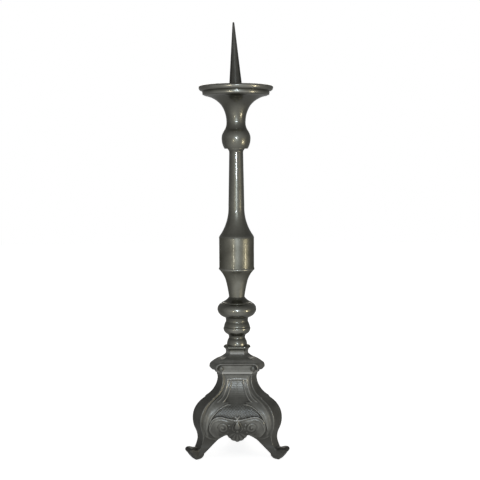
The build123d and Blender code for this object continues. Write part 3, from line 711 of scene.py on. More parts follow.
@dataclass
class Turning:
    """Turned section of the stem: an outer profile revolved about the stem axis, an even wall inside.

    It stands on another node's top where one is named, and else at its own node's foot.
    """

    node: str
    outer: tuple[Knot, ...]
    seed: int
    stands_on: str = ""
    finish: Finish = TURNED_PEWTER
    tarnish: float = 0.0
    softness: float = 0.35
    segments: int = 192
    tool_mark: float = 0.0015
    dents: int = 5
    dent_depth: float = 0.12
    wall: float = CAST_WALL
    inner_rows: int = 40
    wobble: float = 0.025
    third_wave: float = 0.6
    tool_width: float = 0.35
    dent_widths: tuple[float, float] = (1.2, 3.5)
    dent_shares: tuple[float, float] = (0.3, 1.0)
    end_rows: Fade = Fade(0.0, 4.0)
    broad_softness: float = 2.5
    edge_wear: float = 0.45
    edge_gain: float = 1.6

    @property
    def level(self) -> float:
        """Height in mm of the section's foot."""
        return head_of(self.stands_on) if self.stands_on else foot_of(self.node)

    def inner(self, line: Array) -> Array:
        """Inside of the section: the outside less the wall, never under the rod's hole.

        Args:
            line: the outer profile.

        Returns:
            Points of distance and height, from the top down.
        """
        heights = np.linspace(line[-1, 1], line[0, 1], self.inner_rows)
        order = np.argsort(line[:, 1], kind="stable")
        outside = np.interp(heights, line[order, 1], line[order, 0])
        return np.stack([np.maximum(outside - self.wall, ROD_HOLE), heights], axis=1)

    def marks(self, line: Array, angles: Array) -> Array:
        """Small departures from round, in mm.

        They are a slow wobble of two and three waves round the axis, fine tool marks that change along
        the profile only, and a few bell-shaped dents.

        Args:
            line: the outer profile.
            angles: directions of the columns.

        Returns:
            Array of one height for each profile point and direction.
        """
        rng = np.random.default_rng(self.seed)
        phase = rng.uniform(0.0, 2.0 * math.pi, 2)
        slow = np.sin(2.0 * angles + phase[0]) + self.third_wave * np.sin(3.0 * angles + phase[1])
        weights = bell_weights(self.tool_width, LINE_STEP)
        lines = np.convolve(rng.standard_normal(len(line)), weights, mode="same")
        out = self.wobble * slow + self.tool_mark * lines[:, None]
        for _ in range(self.dents):
            centre = line[rng.integers(0, len(line))]
            turn = rng.uniform(0.0, 2.0 * math.pi)
            width = rng.uniform(*self.dent_widths)
            depth = self.dent_depth * rng.uniform(*self.dent_shares)
            across = line[:, :1] * np.sin((angles - turn) / 2.0) * 2.0
            away = np.hypot(line[:, 0] - centre[0], line[:, 1] - centre[1])[:, None]
            out -= depth * np.exp(-0.5 * (across**2 + away**2) / width**2)
        return out

    def rubbing(self, line: Array, normal: Array) -> Array:
        """Wear of the outer profile, from how far it stands proud of a softer copy of itself.

        Args:
            line: the outer profile.
            normal: its outward normals.

        Returns:
            One value for each point.
        """
        broad = soften(line, self.broad_softness)
        broad = resampled(broad, np.linspace(0.0, 1.0, len(broad)), np.linspace(0.0, 1.0, len(line)))
        proud = np.einsum("ij,ij->i", line - broad, normal)
        return PLAIN_WEAR - self.tarnish + self.edge_wear * np.tanh(self.edge_gain * proud)

    def build(self) -> bpy.types.Object:
        """Revolve the outer profile and the inside as one closed loop.

        A vertex at the loop's distance r and height z and the direction p lies at (r cos p, r sin p, z),
        moved out along the profile's normal by the marks.

        Returns:
            The new object.
        """
        line = soften(trace(self.outer, self.level), self.softness)
        along = np.gradient(line, axis=0)
        normal = np.stack([along[:, 1], -along[:, 0]], axis=1) / np.hypot(*along.T)[:, None]
        angles = round_angles(self.segments)
        rows = np.arange(len(line))
        from_end = np.minimum(rows, rows[::-1]).astype(float)
        marks = self.marks(line, angles) * self.end_rows.up(from_end)[:, None]
        inner = self.inner(line)
        flat = np.ones(self.segments)
        radius = np.concatenate([line[:, :1] + marks * normal[:, :1], inner[:, :1] * flat])
        height = np.concatenate([line[:, 1:] + marks * normal[:, 1:], inner[:, 1:] * flat])
        vertices = np.stack([radius * np.cos(angles), radius * np.sin(angles), height], axis=-1)
        wear = np.concatenate([self.rubbing(line, normal), np.full(len(inner), INSIDE_WEAR)])
        wear = np.broadcast_to(wear[:, None], radius.shape)
        faces = grid_quads(len(radius), self.segments, True, True)
        return mesh_object(self.node + "_turned", vertices.reshape(-1, 3), [faces], wear)

    def dress(self, wardrobe: Wardrobe) -> None:
        """Build the section and give it its finish."""
        wardrobe.dress(self.build(), self.finish, Slot.PEWTER, self.node)


@dataclass
class DripPan(Turning):
    """Dish of the stand: the profile also holds its inside, so only the rod's hole closes it."""

    inner_rows: int = 6

    def inner(self, line: Array) -> Array:
        """The rod's hole, from the floor down."""
        heights = np.linspace(line[-1, 1], line[0, 1], self.inner_rows)
        return np.stack([np.full(self.inner_rows, ROD_HOLE), heights], axis=1)


@dataclass
class Pricket:
    """Forged spike on its collar, bent a little to the left, with the soft flats of the hammer."""

    node: str = "pricket"
    seat_depth: float = 0.8
    floor_rise: float = 3.2
    collar_radius: float = 11.0
    collar_height: float = 3.0
    root_radius: float = 8.9
    tip_radius: float = 1.2
    softness: float = 0.3
    lean: float = 1.8
    flats: int = 8
    flat_share: float = 0.012
    flat_start: Fade = Fade(0.0, 6.0)
    uneven_width: float = 6.0
    uneven_share: float = 4.0
    segments: int = 96
    seed: int = 71
    root_wear: float = 0.42
    wear_rise: float = 0.2
    pole_wear: tuple[float, float] = (0.4, 0.6)

    def build(self) -> bpy.types.Object:
        """Revolve the spike's profile between two poles.

        The spike's radius changes by flat_share cos(flats p) about the axis and unevenly along it. Every
        point above the floor is moved to the left by the tangent of the lean times its height over it.

        Returns:
            The new object.
        """
        floor = foot_of("drip_pan") + self.floor_rise
        seat = floor - self.seat_depth
        top = head_of(self.node)
        collar_top = seat + self.collar_height
        share = (collar_top - floor) / (top - floor)
        neck = self.root_radius + (self.tip_radius - self.root_radius) * share
        knots = profile(
            (0.0, seat),
            (self.collar_radius, seat),
            (self.collar_radius, collar_top),
            (neck, collar_top),
            (self.tip_radius, top - self.tip_radius),
            (0.0, top, -self.tip_radius * QUARTER_ARC),
        )
        line = soften(trace(knots), self.softness)
        angles = round_angles(self.segments)
        rng = np.random.default_rng(self.seed)
        weights = bell_weights(self.uneven_width, LINE_STEP)
        uneven = np.convolve(rng.standard_normal(len(line)), weights, mode="same")
        blows = np.cos(self.flats * angles) + self.uneven_share * uneven[:, None]
        struck = self.flat_share * self.flat_start.up(line[:, 1] - collar_top)[:, None]
        radius = line[:, :1] * (1.0 + struck * blows)
        height = np.broadcast_to(line[:, 1:], radius.shape)
        shift = -math.tan(math.radians(self.lean)) * np.clip(height - floor, 0.0, None)
        shape = np.stack([radius * np.cos(angles) + shift, radius * np.sin(angles), height], axis=-1)
        poles = np.stack([shape[0].mean(axis=0), shape[-1].mean(axis=0)])
        vertices, faces = capped_tube(shape[1:-1], poles)
        lift = Fade(floor, top).up(line[1:-1, 1])
        wear = np.repeat(self.root_wear + self.wear_rise * lift, self.segments)
        return mesh_object("pricket_forged", vertices, faces, np.concatenate([wear, self.pole_wear]))

    def dress(self, wardrobe: Wardrobe) -> None:
        """Build the spike and give it its finish."""
        wardrobe.dress(self.build(), SPIKE_IRON, Slot.SPIKE, self.node)


@dataclass
class SixSidedStage:
    """Stage with three main faces and three corner faces, such as the cap of the base."""

    node: str
    face: tuple[Knot, ...]
    corner: tuple[Knot, ...]
    finish: Finish
    slot: Slot
    softness: float = 0.35
    tarnish: float = 0.0
    sharpness: float = 110.0
    typical_radius: float = 20.0
    columns: int = 480
    hole_rows: int = 8
    blur_passes: int = 60
    ground_wear: float = 0.48
    edge_wear: float = 0.5
    edge_gain: float = 1.2

    @property
    def level(self) -> float:
        """Height in mm of the stage's foot."""
        return foot_of(self.node)

    def relief(self, across: Array, height: Array, distance: Array) -> Array:
        """Height of the ornament on a main face, none on a plain stage."""
        return np.zeros(np.broadcast_shapes(across.shape, height.shape, distance.shape))

    def painted_light_on_face(self, across: Array, height: Array) -> Array:
        """Painted highlights and painted shade on a main face, none on a plain stage."""
        return np.zeros(np.broadcast_shapes(across.shape, height.shape))

    def build(self) -> bpy.types.Object:
        """Body of a soft six-sided section that changes with height, with the rod's hole.

        In the direction p the distance from the axis is (sum (cos(p - q) / d)^n)^(-1/n) over the six
        faces, with q each face's direction, d its distance at that height and n the edges' sharpness.
        Distances are taken in shares of a typical radius, which keeps the powers small.

        Returns:
            The new object.
        """
        main = soften(trace(self.face, self.level), self.softness)
        side = soften(trace(self.corner, self.level), self.softness)
        height = main[:, 1:]
        order = np.argsort(side[:, 1], kind="stable")
        corner = np.interp(height, side[order, 1], side[order, 0])
        angles = round_angles(self.columns)
        total = np.zeros((len(main), self.columns))
        for k in range(6):
            distance = main[:, :1] if k % 2 == 0 else corner
            facing = np.clip(np.cos(angles - math.radians(FRONT + SIXTH * k)), 0.0, None)
            total += (facing / distance * self.typical_radius) ** self.sharpness
        radius = self.typical_radius * total ** (-1.0 / self.sharpness)
        sixth = math.radians(SIXTH)
        local = (angles - math.radians(FRONT) + sixth) % (2.0 * sixth) - sixth
        across = radius * np.sin(local)
        raised = self.relief(across, height, radius * np.cos(local))
        outward = angles - local
        x = radius * np.cos(angles) + raised * np.cos(outward)
        y = radius * np.sin(angles) + raised * np.sin(outward)
        outside = np.stack(np.broadcast_arrays(x, y, height), axis=-1)
        down = np.linspace(main[-1, 1], main[0, 1], self.hole_rows)[:, None]
        ring = [ROD_HOLE * np.cos(angles), ROD_HOLE * np.sin(angles)]
        hole = np.stack(np.broadcast_arrays(*ring, down), axis=-1)
        vertices = np.concatenate([outside, hole])
        margin = self.blur_passes
        wide = np.pad(raised, ((0, 0), (margin, margin)), mode="wrap")
        proud = raised - blurred(wide, self.blur_passes)[:, margin:-margin]
        wear = self.ground_wear - self.tarnish + self.edge_wear * np.tanh(self.edge_gain * proud)
        # Painted highlights and painted shade on the main faces, added to the wear
        wear = wear + self.painted_light_on_face(across, height)
        wear = np.concatenate([wear, np.full(hole.shape[:2], INSIDE_WEAR)])
        faces = grid_quads(len(vertices), self.columns, True, True)
        return mesh_object(self.node + "_cast", vertices.reshape(-1, 3), [faces], wear)

    def dress(self, wardrobe: Wardrobe) -> None:
        """Build the stage and give it its finish."""
        wardrobe.dress(self.build(), self.finish, self.slot, self.node)


@dataclass
class CushionStage(SixSidedStage):
    """Cushion with a scroll-ended tablet on each main face; heights are over the stage's foot."""

    eye_offset: float = 20.8
    eye_rise: float = 9.8
    eye: Boss = Boss(0.8, 2.9)
    eye_groove: Roll = Roll(0.3, 0.7, 3.5)
    eye_shade: Boss = Boss(0.3, 3.77)
    scroll_radius: float = 5.7
    scroll_stretch: float = 1.15
    outline_roll: Roll = Roll(1.4, 0.7, 0.3)
    band_distance: float = 23.5
    band_foot: Fade = Fade(5.9, 6.7)
    band_side: Fade = Fade(-0.2, 1.6)
    fillet_distance: float = 22.7
    fillet_foot: Fade = Fade(2.1, 2.9)
    fillet_end: Fade = Fade(19.4, 20.4)
    # Painted light in the wear: painted highlights on the tablet, its fillet, the slope over it and the
    # neck, and painted shade round the scroll eyes
    tablet_painted_highlight: float = 0.1
    tablet_foot: Fade = Fade(6.0, 6.6)
    tablet_side: Fade = Fade(-0.3, 0.6)
    fillet_painted_highlight: float = 0.6
    fillet_highlight_rows: tuple[Fade, Fade] = (Fade(2.2, 2.8), Fade(5.8, 6.4))
    slope_painted_highlight: float = 0.15
    slope_highlight_rows: tuple[Fade, Fade] = (Fade(16.0, 18.0), Fade(19.5, 22.0))
    neck_painted_light: float = 0.3
    neck_foot: Fade = Fade(25.0, 27.0)

    def outline_off(self, across: Array, rise: Array) -> Array:
        """Distance inside the tablet's outline: a level top that turns down round each scroll's eye.

        Args:
            across: sideways place on the face.
            rise: height over the stage's foot.

        Returns:
            Distance in mm, negative outside.
        """
        past = np.clip(np.abs(across) - self.eye_offset, 0.0, None)
        lift = np.clip((rise - self.eye_rise) / self.scroll_stretch, 0.0, None)
        return self.scroll_radius - np.hypot(past, lift)

    def from_eye(self, across: Array, rise: Array) -> Array:
        """Distance from the nearer scroll's eye."""
        return np.hypot(np.abs(across) - self.eye_offset, rise - self.eye_rise)

    def relief(self, across: Array, height: Array, distance: Array) -> Array:
        """Sunk band in a rolled outline with a boss in each lower corner, over a plain upright fillet.

        The band and the fillet are upright planes at their own distances, so their relief is that distance
        less the face's. The roll is a ridge along the outline, and each boss is a dome in a round groove.

        Args:
            across: sideways place on the face.
            height: height of the row.
            distance: the face's distance from the stem axis in that row.

        Returns:
            Height of the relief in mm.
        """
        rise = height - self.level
        inside = self.outline_off(across, rise)
        around = self.from_eye(across, rise)
        over = self.band_foot.up(rise)
        band = self.band_side.up(inside) * over
        fillet = self.fillet_foot.up(rise) * (1.0 - over) * self.fillet_end.down(np.abs(across))
        planes = band * (self.band_distance - distance) + fillet * (self.fillet_distance - distance)
        eye = self.eye.over(around) - self.eye_groove.over(around) * band
        return planes + (self.outline_roll.over(inside) + eye) * over

    def painted_light_on_face(self, across: Array, height: Array) -> Array:
        """Painted highlights on the tablet, its fillet, the slope over it and the neck; painted shade
        round the scroll eyes.

        Args:
            across: sideways place on the face.
            height: height of the row.

        Returns:
            What is added to the wear.
        """
        rise = height - self.level
        tablet = self.tablet_side.up(self.outline_off(across, rise)) * self.tablet_foot.up(rise)
        fillet = self.fillet_highlight_rows[0].up(rise) * self.fillet_highlight_rows[1].down(rise)
        slope = self.slope_highlight_rows[0].up(rise) * self.slope_highlight_rows[1].down(rise)
        neck = self.neck_foot.up(rise)
        bands = self.fillet_painted_highlight * fillet + self.slope_painted_highlight * slope + self.neck_painted_light * neck
        return self.tablet_painted_highlight * tablet + bands - self.eye_shade.over(self.from_eye(across, rise))


@dataclass
class BaseShape:
    """Measures that the panels and the legs of the base share, in mm."""

    height: float = field(default_factory=lambda: foot_of("cushion_stage"))
    panel_softness: float = 0.8
    panel_curve: tuple[Knot, ...] = profile(
        (38.0, 0.0), (36.0, 15.3), (36.5, 36.0, 1.5),
        (28.8, 78.0, -6.2), (18.35, 102.0, 2.6), (18.7, 106.0),
    )
    leg_outer: tuple[Knot, ...] = profile(
        (26.4, 106.0), (25.6, 102.0), (41.6, 79.5, -4.1), (43.7, 76.8), (57.4, 36.0, 9.6),
        (59.3, 14.3, -2.8), (63.5, 14.5, -0.4), (67.2, 15.7), (70.4, 16.3, 0.2), (74.0, 12.8, 1.2),
    )
    leg_inner: tuple[Knot, ...] = profile(
        (19.6, 106.0), (19.6, 98.0), (35.3, 75.3, -4.8), (37.1, 73.0), (51.0, 32.0, 9.0),
        (53.6, 5.0), (59.6, 0.0, -1.1), (64.6, 0.0), (72.0, 9.0, -0.3), (74.0, 12.8, -0.5),
    )
    leg_widths: Curve = ((0.0, 7.4), (24.0, 8.3), (54.0, 11.8), (102.0, 7.4), (106.0, 7.3))

    def panel_distance(self, heights: Array) -> Array:
        """Distance of the panel's face from the stem axis at given heights."""
        line = soften(trace(self.panel_curve), self.panel_softness)
        return np.interp(heights, line[:, 1], line[:, 0])

    def leg_half_width(self, heights: Array) -> Array:
        """Half width of a leg at given heights."""
        return flowing(heights, self.leg_widths)

    def panel_half_width(self, heights: Array) -> Array:
        """Half width of a panel: the root of 3 times its distance, less twice the leg's half width."""
        return math.sqrt(3.0) * self.panel_distance(heights) - 2.0 * self.leg_half_width(heights)


@dataclass(frozen=True)
class PanelBorders:
    """Raised borders of a panel's bell-shaped field; each curve gives its half width by height, in mm."""

    base: BaseShape
    upper: Curve = (
        (74.0, 18.6), (75.5, 16.5), (78.5, 13.7), (85.0, 10.8), (91.5, 9.0), (99.0, 7.6), (104.0, 7.2)
    )
    lower: Curve = (
        (28.0, 29.0), (31.0, 32.4), (35.0, 35.4), (40.0, 36.9), (45.0, 36.6), (49.0, 35.2),
        (54.5, 33.2), (59.8, 29.8), (64.3, 25.6), (68.0, 20.4), (71.5, 13.4), (73.0, 8.0),
    )
    upper_foot: Fade = Fade(73.4, 75.4)
    upper_head: Fade = Fade(0.0, 0.8)
    upper_roll: Roll = Roll(0.75, 0.55)
    outer_roll: Roll = Roll(0.55, 0.6, 4.6)
    lower_foot: Fade = Fade(29.0, 32.0)
    lower_head: Fade = Fade(71.6, 72.8)
    lower_roll: Roll = Roll(0.75, 0.6)
    top_gap: float = 5.0
    top_roll: Roll = Roll(0.7, 0.6)
    top_end: Fade = Fade(4.1, 5.1)
    swell_height: float = 0.9
    swell_gap: float = 4.6
    swell_foot: Fade = Fade(29.0, 40.0)
    swell_head: Fade = Fade(60.0, 76.0)
    least_width: float = 0.01
    ground_side: Fade = Fade(-0.9, 0.1)
    waist_foot: Fade = Fade(70.5, 71.5)
    waist_head: Fade = Fade(75.2, 76.6)
    waist_side: Fade = Fade(10.0, 13.0)

    @property
    def top(self) -> float:
        """Height of the level roll over the field."""
        return self.base.height - self.top_gap

    def in_neck(self, height: Array) -> Array:
        """Field that is 1 along the upper border."""
        return self.upper_foot.up(height) * self.upper_head.down(height - self.top)

    def in_belly(self, height: Array) -> Array:
        """Field that is 1 along the lower border."""
        return self.lower_foot.up(height) * self.lower_head.down(height)

    def lines(self, beside: Array, height: Array) -> Array:
        """Height of the borders: ridges along the curves and over the field, and a swelling beside it.

        Between the lower border and the panel's edge roll the metal swells by 4 t (1 - t), with t the
        share of the way.

        Args:
            beside: sideways place without its sign.
            height: height.

        Returns:
            Height of the relief in mm.
        """
        upper_off = off_line(beside, height, self.upper)
        lower_off = off_line(beside, height, self.lower)
        neck = self.in_neck(height)
        inner = neck * self.upper_roll.over(upper_off)
        outer = neck * self.outer_roll.over(upper_off)
        lower = self.in_belly(height) * self.lower_roll.over(lower_off)
        past = np.clip(lower_off, 0.0, None)
        left = np.clip(self.base.panel_half_width(height) - self.swell_gap - beside, 0.0, None)
        share = past / (past + left + self.least_width)
        swell = self.swell_height * self.swell_foot.up(height) * self.swell_head.down(height)
        sides = np.maximum.reduce([inner, outer, lower]) + swell * 4.0 * share * (1.0 - share)
        return np.maximum(sides, self.top_roll.over(height - self.top) * self.top_end.down(upper_off))

    def ground(self, beside: Array, height: Array) -> Array:
        """Field that is 1 on the ground inside the borders.

        Args:
            beside: sideways place without its sign.
            height: height.

        Returns:
            Share from 0 to 1.
        """
        neck = self.in_neck(height) * self.ground_side.down(off_line(beside, height, self.upper))
        belly = self.in_belly(height) * self.ground_side.down(off_line(beside, height, self.lower))
        waist = self.waist_foot.up(height) * self.waist_head.down(height) * self.waist_side.down(beside)
        return np.clip(np.maximum(neck + belly, waist), 0.0, 1.0)


@dataclass(frozen=True)
class HungCloth:
    """Hung cloth of the apron with its rolled edge, and the spiral volutes cut into it, in mm."""

    edge: Curve = (
        (0.0, 53.2), (5.6, 54.0), (11.6, 55.0), (18.0, 56.9), (24.8, 57.4), (30.0, 55.6),
        (34.8, 51.2), (37.5, 45.0), (39.5, 36.0),
    )
    instep: Curve = ((26.0, 26.4), (31.0, 26.2), (36.0, 27.2), (41.0, 30.2), (45.0, 34.0))
    body: float = 0.8
    body_edge: Fade = Fade(-0.6, 0.6)
    edge_roll: Roll = Roll(0.6, 0.6, 0.8)
    fold: Roll = Roll(0.4, 0.7, 4.2)
    fold_start: Fade = Fade(9.0, 13.0)
    volute_place: tuple[float, float] = (18.6, 42.0)
    volute_step: float = 5.2
    volute_rim: Fade = Fade(5.4, 6.7)
    ribbon_height: float = 0.45
    ribbon_power: float = 1.3
    ribbon_ground: float = 0.3
    eye: Boss = Boss(0.4, 1.5)
    groove: Roll = Roll(0.5, 0.7, 6.7)
    groove_start: Fade = Fade(-2.0, 1.5)
    lobes: float = 5.0
    lobe_height: float = 0.16
    lobe_start: Fade = Fade(7.2, 10.2)
    lobe_edge: Fade = Fade(4.5, 7.0)
    side_start: Fade = Fade(-0.4, 0.8)
    foot_start: Fade = Fade(26.0, 31.0)
    lip_start: Fade = Fade(0.4, 2.0)
    hem: Roll = Roll(0.35, 0.6)
    hem_start: Fade = Fade(25.0, 28.0)

    def relief(self, beside: Array, height: Array, side: Array, lip: Array) -> Array:
        """Cloth with its rolls, a volute and its lobes, and the hem over the instep.

        A volute is a ribbon along a spiral: the cosine of a full turn for each step outward and each
        turn round the eye. Its upper side ends at a groove and its lower side runs into the cloth.

        Args:
            beside: sideways place without its sign.
            height: height.
            side: distance inside the panel's lower border.
            lip: height over the panel's lower edge.

        Returns:
            Height of the relief in mm.
        """
        edge = -off_line(height, beside, self.edge)
        cloth = self.body * self.body_edge.up(edge) + self.edge_roll.over(edge)
        cloth = cloth + self.fold.over(edge) * self.fold_start.up(beside)
        along = beside - self.volute_place[0]
        over = height - self.volute_place[1]
        ring = np.hypot(along, over)
        swing = np.arctan2(over, -along)
        wave = np.cos(2.0 * math.pi * ring / self.volute_step - swing)
        ribbon = (0.5 + 0.5 * wave) ** self.ribbon_power
        volute = self.ribbon_height * (ribbon - self.ribbon_ground) * self.volute_rim.down(ring)
        volute = volute + self.eye.over(ring) - self.groove.over(ring) * self.groove_start.up(over)
        waves = self.lobe_height * np.cos(self.lobes * swing)
        waves = waves * self.lobe_start.up(ring) * self.lobe_edge.up(edge)
        inside = self.side_start.up(side) * self.foot_start.up(height)
        hem = self.hem.over(off_line(height, beside, self.instep)) * self.hem_start.up(beside)
        return ((cloth + volute + waves) * inside + hem) * self.lip_start.up(lip)


@dataclass(frozen=True)
class TiedDrop:
    """Drop in its frame, with the tie over it and beads beside it, in mm.

    A bead has its sideways place, its height and its radius.
    """

    top: float = 53.6
    bottom: float = 40.6
    half: float = 4.3
    least_half: float = 0.05
    height: float = 2.4
    taper: float = 0.6
    frame_top: float = 54.6
    frame_bottom: float = 37.2
    frame_half: float = 6.3
    frame_roll: Roll = Roll(1.5, 0.6)
    frame_slant: float = 0.85
    frame_end: Fade = Fade(0.3, 1.2)
    ground: float = 0.5
    ground_side: Fade = Fade(-0.3, 0.6)
    drop_peak: float = 0.325
    tie_level: float = 54.2
    tie_reach: float = 2.7
    tie_arm: Roll = Roll(1.0, 0.6)
    tie_end: Fade = Fade(2.4, 3.0)
    tie_curl: Boss = Boss(1.0, 1.0)
    tie_knot: Boss = Boss(1.2, 1.2)
    bead_height: float = 1.3
    beads: tuple[tuple[float, float, float], ...] = (
        (10.6, 46.0, 1.5), (9.6, 42.4, 1.2), (12.2, 36.0, 1.6)
    )

    def girth(self, height: Array, top: float, bottom: float) -> Array:
        """Half width of a drop as a share of its greatest: t^1.5 (1 - t)^0.5 / peak, t the way down."""
        down = np.clip((top - height) / (top - bottom), 0.0, 1.0)
        return down**1.5 * np.sqrt(1.0 - down) / self.drop_peak

    def tie(self, beside: Array, height: Array) -> Array:
        """Tie over the drop: two crossing ridges, a knot where they cross and a curl at each upper end.

        Args:
            beside: sideways place without its sign.
            height: height.

        Returns:
            Height of the relief in mm.
        """
        rise = height - self.tie_level
        arm = np.abs(rise)
        arms = self.tie_arm.over((beside - arm) * DIAGONAL) * self.tie_end.down(arm)
        curls = self.tie_curl.over(np.hypot(beside - self.tie_reach, rise - self.tie_reach))
        return np.maximum.reduce([arms, curls, self.tie_knot.over(np.hypot(beside, rise))])

    def relief(self, beside: Array, height: Array) -> Array:
        """Drop on its ground, the frame round it, the tie and the beads; the highest counts.

        Args:
            beside: sideways place without its sign.
            height: height.

        Returns:
            Height of the relief in mm.
        """
        girth = self.girth(height, self.top, self.bottom)
        half = np.maximum(self.half * girth, self.least_half)
        drop = self.height * dome(beside, half) * girth**self.taper
        rim = self.frame_half * self.girth(height, self.frame_top, self.frame_bottom)
        ground = self.ground * self.ground_side.up(rim - beside)
        round_it = self.frame_roll.over((beside - rim) * self.frame_slant) * self.frame_end.up(rim)
        forms = [drop + ground, round_it, self.tie(beside, height)]
        for place, level, radius in self.beads:
            forms.append(self.bead_height * dome(np.hypot(beside - place, height - level), radius))
        return np.maximum.reduce(forms)


@dataclass(frozen=True)
class FanShell:
    """Fan shell at the foot of the apron, in mm; the turn about its centre is in radians."""

    centre: float = 37.6
    radius: float = 14.2
    half: float = 13.5
    ribs: int = 13
    scallop: float = 0.8
    tip_drop: float = 0.7
    tip_width: float = 4.0
    body: float = 0.9
    body_fall: float = 0.03
    rim: Fade = Fade(14.2, 15.1)
    root: Fade = Fade(1.5, 4.0)
    flank: Fade = Fade(1.2, 1.32)
    rib_height: float = 0.4
    rib_start: Fade = Fade(2.0, 9.0)
    hub: Boss = Boss(1.6, 2.6)

    def edge(self, beside: Array) -> Array:
        """Height of the lower edge: a round with a scallop at each rib, lower in the middle.

        Args:
            beside: sideways place without its sign.

        Returns:
            Height in mm; past the shell it stays level.
        """
        reach = np.minimum(beside, self.half)
        ribs = np.abs(np.cos(self.ribs * np.arcsin(reach / self.radius) / 2.0))
        tip = self.tip_drop * np.exp(-((reach / self.tip_width) ** 2))
        return self.centre - np.sqrt(self.radius**2 - reach**2) + self.scallop * (1.0 - ribs) - tip

    def relief(self, beside: Array, height: Array) -> Array:
        """Ribs as the cosine of the turn about the fan's centre, and a round hub there.

        Args:
            beside: sideways place without its sign.
            height: height.

        Returns:
            Height of the relief in mm.
        """
        below = self.centre - height
        out = np.hypot(beside, below)
        swing = np.arctan2(beside, below)
        inside = self.rim.down(out) * self.root.up(out) * self.flank.down(swing)
        ribs = self.rib_height * np.abs(np.cos(self.ribs * swing / 2.0)) * self.rib_start.up(out)
        return np.maximum(inside * (self.body + ribs - self.body_fall * out), self.hub.over(out))


